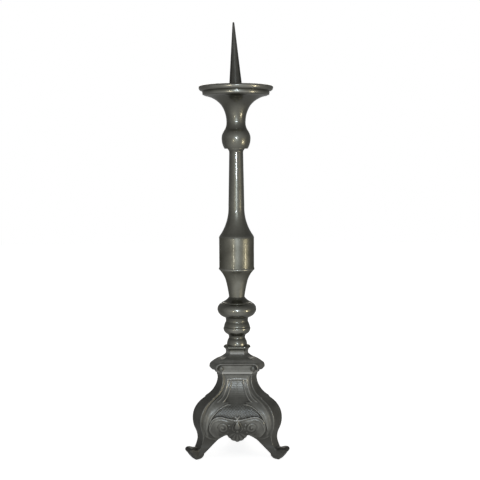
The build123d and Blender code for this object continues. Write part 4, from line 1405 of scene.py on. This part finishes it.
@dataclass
class BasePanel:
    """S-curved panel of the base: a sheet with ornament in relief, cut to an arched apron, in mm."""

    node: str
    turn: float
    base: BaseShape
    borders: PanelBorders
    cloth: HungCloth = HungCloth()
    drop: TiedDrop = TiedDrop()
    shell: FanShell = FanShell()
    columns: int = 181
    rows: int = 221
    wall: float = 3.0
    tuck: float = 0.3
    edge_guess: float = 10.0
    edge_rounds: int = 40
    slope_step: float = 0.2
    apron: Curve = (
        (13.5, 31.6), (15.8, 31.0), (20.8, 28.4), (25.0, 25.6), (32.0, 18.8),
        (38.2, 12.5), (43.2, 7.5), (47.5, 3.4), (56.0, 0.4),
    )
    side_fall: float = 0.9
    side_round: Fade = Fade(0.0, 4.2)
    side_roll: Roll = Roll(0.2, 0.9, 4.4)
    side_foot: Fade = Fade(26.0, 34.0)
    above_cloth: Fade = Fade(-0.4, 0.6)
    ground_depth: float = 0.45
    lattice_pitch: float = 2.6
    lattice_height: float = 0.08
    hatch_height: float = 0.04
    hatch_rate: float = 1.25
    hatch_foot: Fade = Fade(70.0, 74.0)
    lip_depth: float = 0.9
    lip_width: float = 0.7
    blur_passes: int = 40
    ground_wear: float = 0.46
    edge_wear: float = 0.5
    edge_gain: float = 1.7
    back_wear: float = 0.25
    sunk_tarnish: float = 0.2
    # Painted light in the wear: painted highlights on the neck, its border crests and the tie, and painted
    # shade over the shell and the lower panel
    neck_foot: Fade = Fade(70.0, 86.0)
    neck_painted_light: float = 0.06
    crest_painted_highlight: float = 0.5
    instep_top: Fade = Fade(-2.0, 1.0)
    instep_start: Fade = Fade(24.0, 27.0)
    instep_darkening: float = 0.3
    foot_slant: float = 0.35
    foot_top: Fade = Fade(40.0, 58.0)
    foot_painted_shade: float = 0.32
    tie_gain: float = 2.0
    tie_painted_highlight: float = 0.9

    def lower_edge(self, across: Array) -> Array:
        """Height of the panel's lower edge: a scalloped round under the shell, the apron beside it.

        Args:
            across: sideways place.

        Returns:
            Height in mm.
        """
        beside = np.abs(across)
        arch = np.interp(beside, *np.array(self.apron).T)
        return np.where(beside < self.shell.half, np.minimum(self.shell.edge(beside), arch), arch)

    def places(self) -> tuple[Array, Array]:
        """Grid of the panel: columns at even shares of its width, rows at even shares of its height.

        The lower edge depends on the sideways place, which depends on the height, so it is found by
        repeating z = edge(s w(z)) until it settles.

        Returns:
            Sideways place and height, one array each of rows by columns.
        """
        share = np.linspace(-1.0, 1.0, self.columns)
        low = np.full(self.columns, self.edge_guess)
        for _ in range(self.edge_rounds):
            wide = self.base.panel_half_width(low) + self.tuck
            low = 0.5 * low + 0.5 * self.lower_edge(share * wide)
        up = np.linspace(0.0, 1.0, self.rows)[:, None]
        height = low + (self.base.height - low) * up
        across = share * (self.base.panel_half_width(height) + self.tuck)
        return across, height

    def over_cloth(self, beside: Array, height: Array) -> Array:
        """Field that is 1 above the hung cloth."""
        return self.above_cloth.up(off_line(height, beside, self.cloth.edge))

    def sunk(self, beside: Array, height: Array) -> Array:
        """Field that is 1 on the sunk ground above the hung cloth."""
        return self.borders.ground(beside, height) * self.over_cloth(beside, height)

    def lattice(self, across: Array, height: Array) -> Array:
        """Diaper ground: two crossing sets of fine ridges, level hatching above them.

        Each set is the cosine of a full turn for each pitch along a diagonal.

        Args:
            across: sideways place.
            height: height.

        Returns:
            Height of the relief in mm.
        """
        turn = 2.0 * math.pi / self.lattice_pitch
        left, right = (np.cos(turn * (across + way * height) * DIAGONAL) for way in (1.0, -1.0))
        net = self.lattice_height * 0.5 * (left + right)
        hatching = self.hatch_height * np.cos(turn * self.hatch_rate * height)
        return net * self.hatch_foot.down(height) + hatching * self.hatch_foot.up(height)

    def relief(self, across: Array, height: Array) -> Array:
        """Whole ornament of the panel: edge roll, borders, ground, cloth, drop and shell.

        Args:
            across: sideways place.
            height: height.

        Returns:
            Height of the relief in mm.
        """
        beside = np.abs(across)
        from_side = self.base.panel_half_width(height) - beside
        sides = self.side_roll.over(from_side) - self.side_fall * self.side_round.down(from_side)
        sides = sides * self.side_foot.up(height)
        lines = self.borders.lines(beside, height) * self.over_cloth(beside, height)
        ground = self.sunk(beside, height) * (self.lattice(across, height) - self.ground_depth)
        lip = height - self.lower_edge(across)
        in_border = -off_line(beside, height, self.borders.lower)
        cloth = self.cloth.relief(beside, height, in_border, lip)
        forms = [cloth, self.drop.relief(beside, height), self.shell.relief(beside, height)]
        rounded = self.lip_depth * np.exp(-np.clip(lip, 0.0, None) / self.lip_width)
        return sides + lines + ground + np.maximum.reduce(forms) - rounded

    def patina_and_painted_light(self, beside: Array, height: Array) -> Array:
        """Broad changes of the metal's tone, much of it painted light.

        The sunk ground is dark, but not in the neck, which gets a painted highlight, its border crests
        most; the shell and the cloth beside it get painted shade, the insteps are darker, and the tie over
        the drop gets a painted highlight.

        Args:
            beside: sideways place without its sign.
            height: height.

        Returns:
            What is added to the wear.
        """
        neck = self.neck_foot.up(height)
        # Painted highlights on the neck, its border crests and the tie over the drop
        crest = self.crest_painted_highlight * self.borders.lines(beside, height)
        rubbed = (self.neck_painted_light + crest) * neck
        rubbed = rubbed + self.tie_painted_highlight * np.tanh(self.tie_gain * self.drop.tie(beside, height))
        # Darker low on the panel's sides, under the instep line
        instep = self.instep_top.down(off_line(height, beside, self.cloth.instep))
        instep = self.instep_darkening * instep * self.instep_start.up(beside)
        # Painted shade over the lower panel, the shell and the cloth beside it
        foot = self.foot_painted_shade * self.foot_top.down(height + self.foot_slant * beside)
        sunk = self.sunk_tarnish * self.sunk(beside, height) * (1.0 - neck)
        return rubbed - instep - foot - sunk

    def build(self) -> bpy.types.Object:
        """Closed sheet: the front with its relief, the plain back a wall behind it, and the rim between.

        With n the panel's direction, a(z) its distance and m the normal of that curve, a front point is
        n a + h m, moved sideways by its place across.

        Returns:
            The new object.
        """
        across, height = self.places()
        raised = self.relief(across, height)
        distance = self.base.panel_distance(height)
        ahead = self.base.panel_distance(height + self.slope_step)
        behind = self.base.panel_distance(height - self.slope_step)
        slope = (ahead - behind) / (2.0 * self.slope_step)
        length = np.sqrt(1.0 + slope**2)
        lift = np.clip(height - raised * slope / length, 0.0, self.base.height)
        front = turned(self.turn, distance + raised / length, across, lift)
        inside = np.clip(height + self.wall * slope / length, 0.0, self.base.height)
        back = turned(self.turn, distance - self.wall / length, across, inside)
        vertices = np.concatenate([front.reshape(-1, 3), back.reshape(-1, 3)])
        count = self.rows * self.columns
        quads = grid_quads(self.rows, self.columns, False, False)
        index = np.arange(count).reshape(self.rows, self.columns)
        rim = np.concatenate([index[0, :-1], index[:-1, -1], index[-1, :0:-1], index[:0:-1, 0]])
        after = np.roll(rim, -1)
        walls = np.stack([after, rim, rim + count, after + count], axis=1)
        proud = raised - blurred(raised, self.blur_passes)
        wear = self.ground_wear + self.edge_wear * np.tanh(self.edge_gain * proud)
        wear = wear + self.patina_and_painted_light(np.abs(across), height)
        wear = np.concatenate([wear.ravel(), np.full(count, self.back_wear)])
        return mesh_object(self.node + "_cast", vertices, [quads, quads[:, ::-1] + count, walls], wear)

    def dress(self, wardrobe: Wardrobe) -> None:
        """Build the panel and give it its finish."""
        wardrobe.dress(self.build(), CAST_PEWTER, Slot.RELIEF, self.node)


@dataclass
class Leg:
    """Corner leg: a rounded strap along an S-curve that ends in an upturned scroll toe, in mm."""

    node: str
    turn: float
    base: BaseShape
    stations: int = 40
    side_softness: float = 2.2
    corner_radius: float = 1.0
    corner_points: int = 9
    corner_limit: float = 0.9
    face_points: int = 8
    least_depth: float = 1e-4
    toe_start: Fade = Fade(60.0, 68.0)
    toe_half_width: float = 8.0
    toe_corner_radius: float = 3.4
    toe_soft: Fade = Fade(55.0, 62.0)
    toe_round_start: float = 70.5
    toe_round: float = 1.2
    toe_fullness: float = 0.96
    ground_wear: float = 0.36
    edge_wear: float = 0.28
    tarnish: float = 0.05
    toe_darkening: float = 0.12

    def side_curves(self) -> list[Array]:
        """Outer and inner side of the leg in its radial plane, with as many points in each stretch.

        Returns:
            Points of distance and height of the outer side, and those of the inner side.
        """
        wanted = np.linspace(0.0, 1.0, self.stations, endpoint=False)
        weights = bell_weights(self.side_softness, 1.0)
        sides = []
        for knots in (self.base.leg_outer, self.base.leg_inner):
            places = np.array([(k.radius, k.height) for k in knots])
            runs = []
            for a, b, knot in zip(places[:-1], places[1:], knots[1:]):
                dense = np.concatenate([stretch(a, b, knot.bend), b[None, :]])
                runs.append(resampled(dense, np.linspace(0.0, 1.0, len(dense)), wanted))
            sides.append(weighted_mean(np.concatenate(runs + [places[-1:]]), weights))
        return sides

    def section(self) -> tuple[Array, Array]:
        """Template of a rounded rectangle, taken once round.

        Returns:
            The corner that each point hangs on, as a pair of values from -1 to 1, and its way out from
            there on the corner's round, as a pair of the cosine and the sine of its turn.
        """
        signs = np.array([[1.0, 1.0], [-1.0, 1.0], [-1.0, -1.0], [1.0, -1.0]])
        share = np.linspace(0.0, 1.0, self.face_points + 2)[1:-1, None]
        hang, out = [], []
        for k, (sign, after) in enumerate(zip(signs, np.roll(signs, -1, axis=0))):
            turn = math.pi / 2.0 * (k + np.linspace(0.0, 1.0, self.corner_points))
            round_out = np.stack([np.cos(turn), np.sin(turn)], axis=1)
            hang += [np.tile(sign, (self.corner_points, 1)), sign + (after - sign) * share]
            out += [round_out, np.tile(round_out[-1], (self.face_points, 1))]
        return np.concatenate(hang), np.concatenate(out)

    def half_width(self, centre: Array) -> Array:
        """Half width along the leg: the strap's, eased into the toe's, which draws in to a round end.

        Args:
            centre: distance and height of the section's centre at each station.

        Returns:
            One value for each station.
        """
        strap = self.base.leg_half_width(np.clip(centre[:, 1], 0.0, self.base.height))
        toe = self.toe_start.up(centre[:, 0])
        past = (centre[:, 0] - self.toe_round_start) / (centre[-1, 0] - self.toe_round_start)
        past = np.clip(past, 0.0, 1.0)
        drawn_in = self.toe_round * (1.0 - np.sqrt(1.0 - self.toe_fullness * past**2))
        return strap * (1.0 - toe) + self.toe_half_width * toe - drawn_in

    def build(self) -> bpy.types.Object:
        """Sweep a rounded rectangle between the two sides.

        At each station a point lies at the section's centre, plus its corner's place inside the half
        depth and the half width, plus the corner's radius on its way out.

        Returns:
            The new object.
        """
        outer, inner = self.side_curves()
        centre = (outer + inner) / 2.0
        depth = (outer - inner) / 2.0
        half_depth = np.maximum(np.hypot(*depth.T), self.least_depth)[:, None]
        width = self.half_width(centre)[:, None]
        hang, out = self.section()
        soft = self.toe_soft.up(centre[:, :1])
        radius = self.corner_radius + (self.toe_corner_radius - self.corner_radius) * soft
        radius = np.minimum(radius, self.corner_limit * half_depth)
        way = (hang[:, 0] * (half_depth - radius) + out[:, 0] * radius) / half_depth
        across = hang[:, 1] * (width - radius) + out[:, 1] * radius
        distance = centre[:, :1] + depth[:, :1] * way
        height = np.clip(centre[:, 1:] + depth[:, 1:] * way, 0.0, self.base.height)
        rings = turned(self.turn, distance, across, height)
        poles = np.stack([rings[0].mean(axis=0), rings[-1].mean(axis=0)])
        vertices, faces = capped_tube(rings, poles)
        edge = 2.0 * np.abs(out[:, 0] * out[:, 1]) * (out[:, 0] > 0.0)
        wear = self.ground_wear - self.tarnish + self.edge_wear * edge * (1.0 - soft)
        # Darker towards the toe
        wear = wear - self.toe_darkening * soft
        wear = np.concatenate([wear.ravel(), [INSIDE_WEAR, self.ground_wear - self.toe_darkening]])
        return mesh_object(self.node + "_cast", vertices, faces, wear)

    def dress(self, wardrobe: Wardrobe) -> None:
        """Build the leg and give it its finish."""
        wardrobe.dress(self.build(), CAST_PEWTER, Slot.PEWTER, self.node)


@dataclass
class StandBase:
    """Base of the stand: three panels, three legs, the cushion, its cap and the iron inside."""

    shape: BaseShape = field(default_factory=BaseShape)
    iron: tuple[str, ...] = ("tie_rod", "tie_nut", "tie_washer", "spreader_plate")

    def pieces(self) -> list[BasePanel | Leg | SixSidedStage]:
        """Every cast piece of the base.

        Returns:
            The panels, the legs, the cushion and the cap.
        """
        made: list[BasePanel | Leg | SixSidedStage] = []
        borders = PanelBorders(self.shape)
        for k, side in enumerate(("front", "right", "left")):
            made.append(BasePanel(f"base_panel_{side}", FRONT + THIRD * k, self.shape, borders))
        for k, side in enumerate(("right", "rear", "left")):
            made.append(Leg(f"leg_{side}", FRONT + SIXTH + THIRD * k, self.shape))
        cushion = CushionStage(
            "cushion_stage",
            face=profile(
                (19.4, 0.0), (19.4, 1.5), (23.4, 7.5, 0.6), (25.4, 12.8, -0.9),
                (23.4, 17.8, -0.9), (17.7, 22.2, -0.4), (11.8, 27.0, 0.6), (11.8, 30.0),
            ),
            corner=profile(
                (27.0, 0.0), (27.0, 1.5), (33.0, 7.5, 0.6), (36.2, 12.8, -0.9),
                (33.0, 17.8, -0.9), (23.3, 22.2, -0.4), (13.8, 27.0, 0.6), (13.8, 30.0),
            ),
            finish=CAST_PEWTER,
            slot=Slot.RELIEF,
        )
        cap = SixSidedStage(
            "abacus",
            face=profile((11.8, 0.0), (13.4, 3.9, 0.5), (13.9, 3.9), (13.9, 5.9), (12.7, 7.5)),
            corner=profile((13.8, 0.0), (16.3, 3.9, 0.5), (16.8, 3.9), (16.8, 5.9), (15.6, 7.5)),
            finish=TURNED_PEWTER,
            slot=Slot.PEWTER,
            softness=0.25,
            tarnish=0.12,
        )
        return made + [cushion, cap]

    def dress(self, wardrobe: Wardrobe) -> None:
        """Build the cast pieces and repaint the iron that stays.

        Args:
            wardrobe: the finishes.
        """
        for piece in self.pieces():
            piece.dress(wardrobe)
        for node in self.iron:
            wardrobe.repaint(node, HIDDEN_IRON)


@dataclass
class Stem:
    """Turned stem from the small bell on the cap up to the drip pan and the spike."""

    spike: Pricket = field(default_factory=Pricket)

    def sections(self) -> list[Turning]:
        """Every turned section.

        Returns:
            The sections from the cap up.
        """
        return [
            Turning(
                "foot_bell",
                profile((13.3, 0.0), (11.5, 7.5, -0.5), (10.6, 10.2, 0.2)),
                seed=11,
                tarnish=0.12,
            ),
            Turning(
                "ring_knop",
                profile(
                    (10.6, 0.0), (12.3, 4.0, 0.4), (17.65, 10.7, -1.2), (17.3, 13.2, -0.2),
                    (16.6, 13.9), (16.9, 14.7), (15.1, 19.4, -0.15), (14.5, 21.3, 0.1),
                ),
                seed=12,
                finish=RUBBED_PEWTER,
                tarnish=0.04,
            ),
            Turning(
                "knop_lower",
                profile((14.5, 0.0), (15.5, 5.2, 0.3), (25.4, 14.6, -2.2)),
                seed=13,
                tarnish=0.05,
            ),
            Turning(
                "knop_upper",
                profile((25.4, 0.0), (19.2, 9.3, -2.1), (19.2, 10.3), (18.1, 10.6), (10.2, 17.2, 0.75)),
                seed=14,
                stands_on="knop_lower",
                tarnish=0.06,
            ),
            Turning(
                "vase_bell",
                profile(
                    (10.2, 0.0), (14.2, 21.2, 0.4), (22.4, 35.3, 1.0),
                    (23.4, 36.2), (23.4, 37.0), (22.7, 38.7, 0.1),
                ),
                seed=15,
                finish=BRUSHED_PEWTER,
                tarnish=-0.08,
                softness=0.6,
                dents=14,
                dent_depth=0.2,
            ),
            Turning(
                "drum",
                profile((22.65, 0.0), (22.65, 38.7)),
                seed=16,
                finish=BRUSHED_PEWTER,
                tarnish=0.05,
                tool_mark=0.003,
            ),
            Turning(
                "shaft",
                profile(
                    (22.9, 0.0), (22.4, 2.0), (10.35, 41.0, 3.4),
                    (9.05, 110.2), (11.0, 114.3, 0.6), (11.0, 115.1),
                ),
                seed=17,
                stands_on="drum",
                softness=0.6,
            ),
            Turning(
                "bulb_cup",
                profile((15.0, 0.0), (18.6, 12.2, -0.8)),
                seed=18,
                tarnish=0.1,
            ),
            Turning(
                "pan_trumpet",
                profile(
                    (18.6, 0.0), (15.5, 11.1, -1.0), (12.35, 23.0, 1.1),
                    (18.6, 43.0, 1.5), (40.6, 55.5, 2.5), (41.4, 56.5),
                ),
                seed=19,
                stands_on="bulb_cup",
                tarnish=0.06,
                softness=0.8,
                segments=256,
            ),
            DripPan(
                "drip_pan",
                profile(
                    (ROD_HOLE, 0.0), (42.8, 0.0), (43.2, 4.81, -0.3), (47.8, 8.6, -1.3),
                    (46.4, 11.1, -0.75), (43.8, 11.6, -0.15), (41.2, 9.6, -0.5), (40.2, 7.0), (40.0, 6.0),
                    (37.0, 3.2, 0.5), (11.1, 3.2), (11.1, 2.4), (ROD_HOLE, 2.4),
                ),
                seed=20,
                finish=RUBBED_PEWTER,
                tarnish=0.1,
                segments=288,
            ),
        ]

    def dress(self, wardrobe: Wardrobe) -> None:
        """Build every section and the spike.

        Args:
            wardrobe: the finishes.
        """
        for section in self.sections():
            section.dress(wardrobe)
        self.spike.dress(wardrobe)


@dataclass(frozen=True)
class SoftLight:
    """Area light that faces a point of the stand; places in metres."""

    name: str
    place: Place
    aim: Place
    size: tuple[float, float]
    watts: float
    colour: Colour

    def build(self) -> None:
        """Add the light to the scene."""
        data = bpy.data.lights.new(self.name, "AREA")
        data.shape = "RECTANGLE"
        data.size, data.size_y = self.size
        data.energy = self.watts
        data.color = self.colour
        light = bpy.data.objects.new(self.name, data)
        light.visible_camera = False
        way = Vector(self.aim) - Vector(self.place)
        facing = way.to_track_quat("-Z", "Y").to_matrix().to_4x4()
        light.matrix_world = Matrix.Translation(self.place) @ facing
        bpy.context.scene.collection.objects.link(light)


STUDIO_LIGHTS = (
    SoftLight("flash", (0.07, -1.45, 0.44), (0.0, 0.0, 0.27), (0.1, 0.1), 4.2, (0.78, 0.88, 1.0)),
    SoftLight("right_lamp", (0.87, -0.5, 0.1), (0.0, 0.0, 0.3), (0.1, 0.16), 1.6, (1.0, 0.88, 0.62)),
    SoftLight("left_lamp", (-0.4, -1.1, 0.14), (0.0, 0.0, 0.3), (0.06, 0.08), 0.8, (1.0, 0.92, 0.72)),
    SoftLight("back_lamp", (0.0, 1.25, 0.75), (0.0, 0.0, 0.3), (0.6, 0.5), 2.2, (1.0, 0.96, 0.88)),
)


@dataclass
class Studio:
    """Pale floor, soft lights, plain surroundings and the photograph's camera; places in metres."""

    lights: tuple[SoftLight, ...] = STUDIO_LIGHTS
    floor_half: float = 3.0
    floor_colour: Colour = (0.86, 0.86, 0.86)
    floor_roughness: float = 0.9
    floor_glow: float = 0.8
    room_depth: tuple[float, float] = (0.1, -1.0)
    room_back: float = 0.33
    room_front: float = 0.85
    room_steps: Curve = ((-1.0, 1.1), (-0.5, 0.95), (0.0, 0.8), (0.5, 0.62), (1.0, 0.45))
    eye: Place = (0.0045, -1.189, 0.385)
    pitch: float = 5.0
    roll: float = 0.24
    focal_pixels: float = 917.0
    frame_pixels: float = 480.0
    sensor: float = 36.0
    clip_start: float = 0.05

    def floor(self) -> None:
        """Add the pale floor."""
        half = self.floor_half
        corners = [(-half, -half, 0.0), (half, -half, 0.0), (half, half, 0.0), (-half, half, 0.0)]
        mesh = bpy.data.meshes.new("floor")
        mesh.from_pydata(corners, [], [(0, 1, 2, 3)])
        made = bpy.data.materials.new("pale floor")
        made.use_nodes = True
        constants = {
            "Base Color": (*self.floor_colour, 1.0),
            "Roughness": self.floor_roughness,
            "Emission Color": WHITE,
            "Emission Strength": self.floor_glow,
        }
        set_inputs(made.node_tree.nodes["Principled BSDF"], constants)
        mesh.materials.append(made)
        ground = bpy.data.objects.new("floor", mesh)
        ground.visible_glossy = False
        ground.visible_diffuse = False
        bpy.context.scene.collection.objects.link(ground)

    def surroundings(self) -> None:
        """Even white behind the stand; the metal mirrors a dim room, lighter towards the viewer."""
        world = bpy.data.worlds.new("studio")
        bpy.context.scene.world = world
        world.use_nodes = True
        nodes, links = world.node_tree.nodes, world.node_tree.links
        nodes.clear()
        output = nodes.new("ShaderNodeOutputWorld")
        mix = nodes.new("ShaderNodeMixShader")
        seen = nodes.new("ShaderNodeBackground")
        room = nodes.new("ShaderNodeBackground")
        path = nodes.new("ShaderNodeLightPath")
        places = nodes.new("ShaderNodeTexCoord")
        parts = nodes.new("ShaderNodeSeparateXYZ")
        depth = nodes.new("ShaderNodeMapRange")
        rise = nodes.new("ShaderNodeMapRange")
        ramp = nodes.new("ShaderNodeValToRGB")
        both = nodes.new("ShaderNodeMath")
        both.operation = "MULTIPLY"
        heights, tones = np.array(self.room_steps).T
        most = float(tones.max())
        shares = (heights - heights[0]) / (heights[-1] - heights[0])
        back, front = self.room_depth
        set_inputs(seen, {"Color": WHITE, "Strength": 1.0})
        set_inputs(room, {"Strength": most})
        set_inputs(depth, {"From Min": back, "From Max": front})
        set_inputs(depth, {"To Min": self.room_back, "To Max": self.room_front})
        set_inputs(rise, {"From Min": float(heights[0]), "From Max": float(heights[-1])})
        stops = ramp.color_ramp.elements
        for share in shares[1:-1]:
            stops.new(share)
        for stop, share, tone in zip(stops, shares, tones / most):
            stop.position = share
            stop.color = (tone, tone, tone, 1.0)
        links.new(places.outputs["Generated"], parts.inputs["Vector"])
        links.new(parts.outputs["Y"], depth.inputs["Value"])
        links.new(parts.outputs["Z"], rise.inputs["Value"])
        links.new(rise.outputs["Result"], ramp.inputs["Fac"])
        links.new(depth.outputs["Result"], both.inputs[0])
        links.new(ramp.outputs["Color"], both.inputs[1])
        links.new(both.outputs["Value"], room.inputs["Color"])
        links.new(path.outputs["Is Camera Ray"], mix.inputs["Fac"])
        links.new(room.outputs["Background"], mix.inputs[1])
        links.new(seen.outputs["Background"], mix.inputs[2])
        links.new(mix.outputs["Shader"], output.inputs["Surface"])

    def camera(self) -> None:
        """Add the photograph's camera, pitched down and rolled so that the stem leans left."""
        data = bpy.data.cameras.new("camera")
        data.sensor_width = self.sensor
        data.lens = self.sensor * self.focal_pixels / self.frame_pixels
        data.clip_start = self.clip_start
        view = bpy.data.objects.new("camera", data)
        tilt = Matrix.Rotation(math.radians(90.0 - self.pitch), 4, "X")
        lean = Matrix.Rotation(math.radians(-self.roll), 4, "Z")
        view.matrix_world = Matrix.Translation(self.eye) @ tilt @ lean
        bpy.context.scene.collection.objects.link(view)
        bpy.context.scene.camera = view

    def build(self) -> None:
        """Set up the floor, the lights, the surroundings and the camera."""
        self.floor()
        for light in self.lights:
            light.build()
        self.surroundings()
        self.camera()
        bpy.context.scene.view_settings.view_transform = "Standard"


def write_sizes() -> None:
    """Update the view layer."""
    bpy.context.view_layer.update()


def main() -> None:
    """Build the stand piece by piece, then the studio."""
    logging.basicConfig(level=logging.INFO, format="%(name)s: %(message)s")
    wardrobe = Wardrobe()
    Stem().dress(wardrobe)
    StandBase().dress(wardrobe)
    Studio().build()
    write_sizes()


if __name__ == "__main__":
    main()
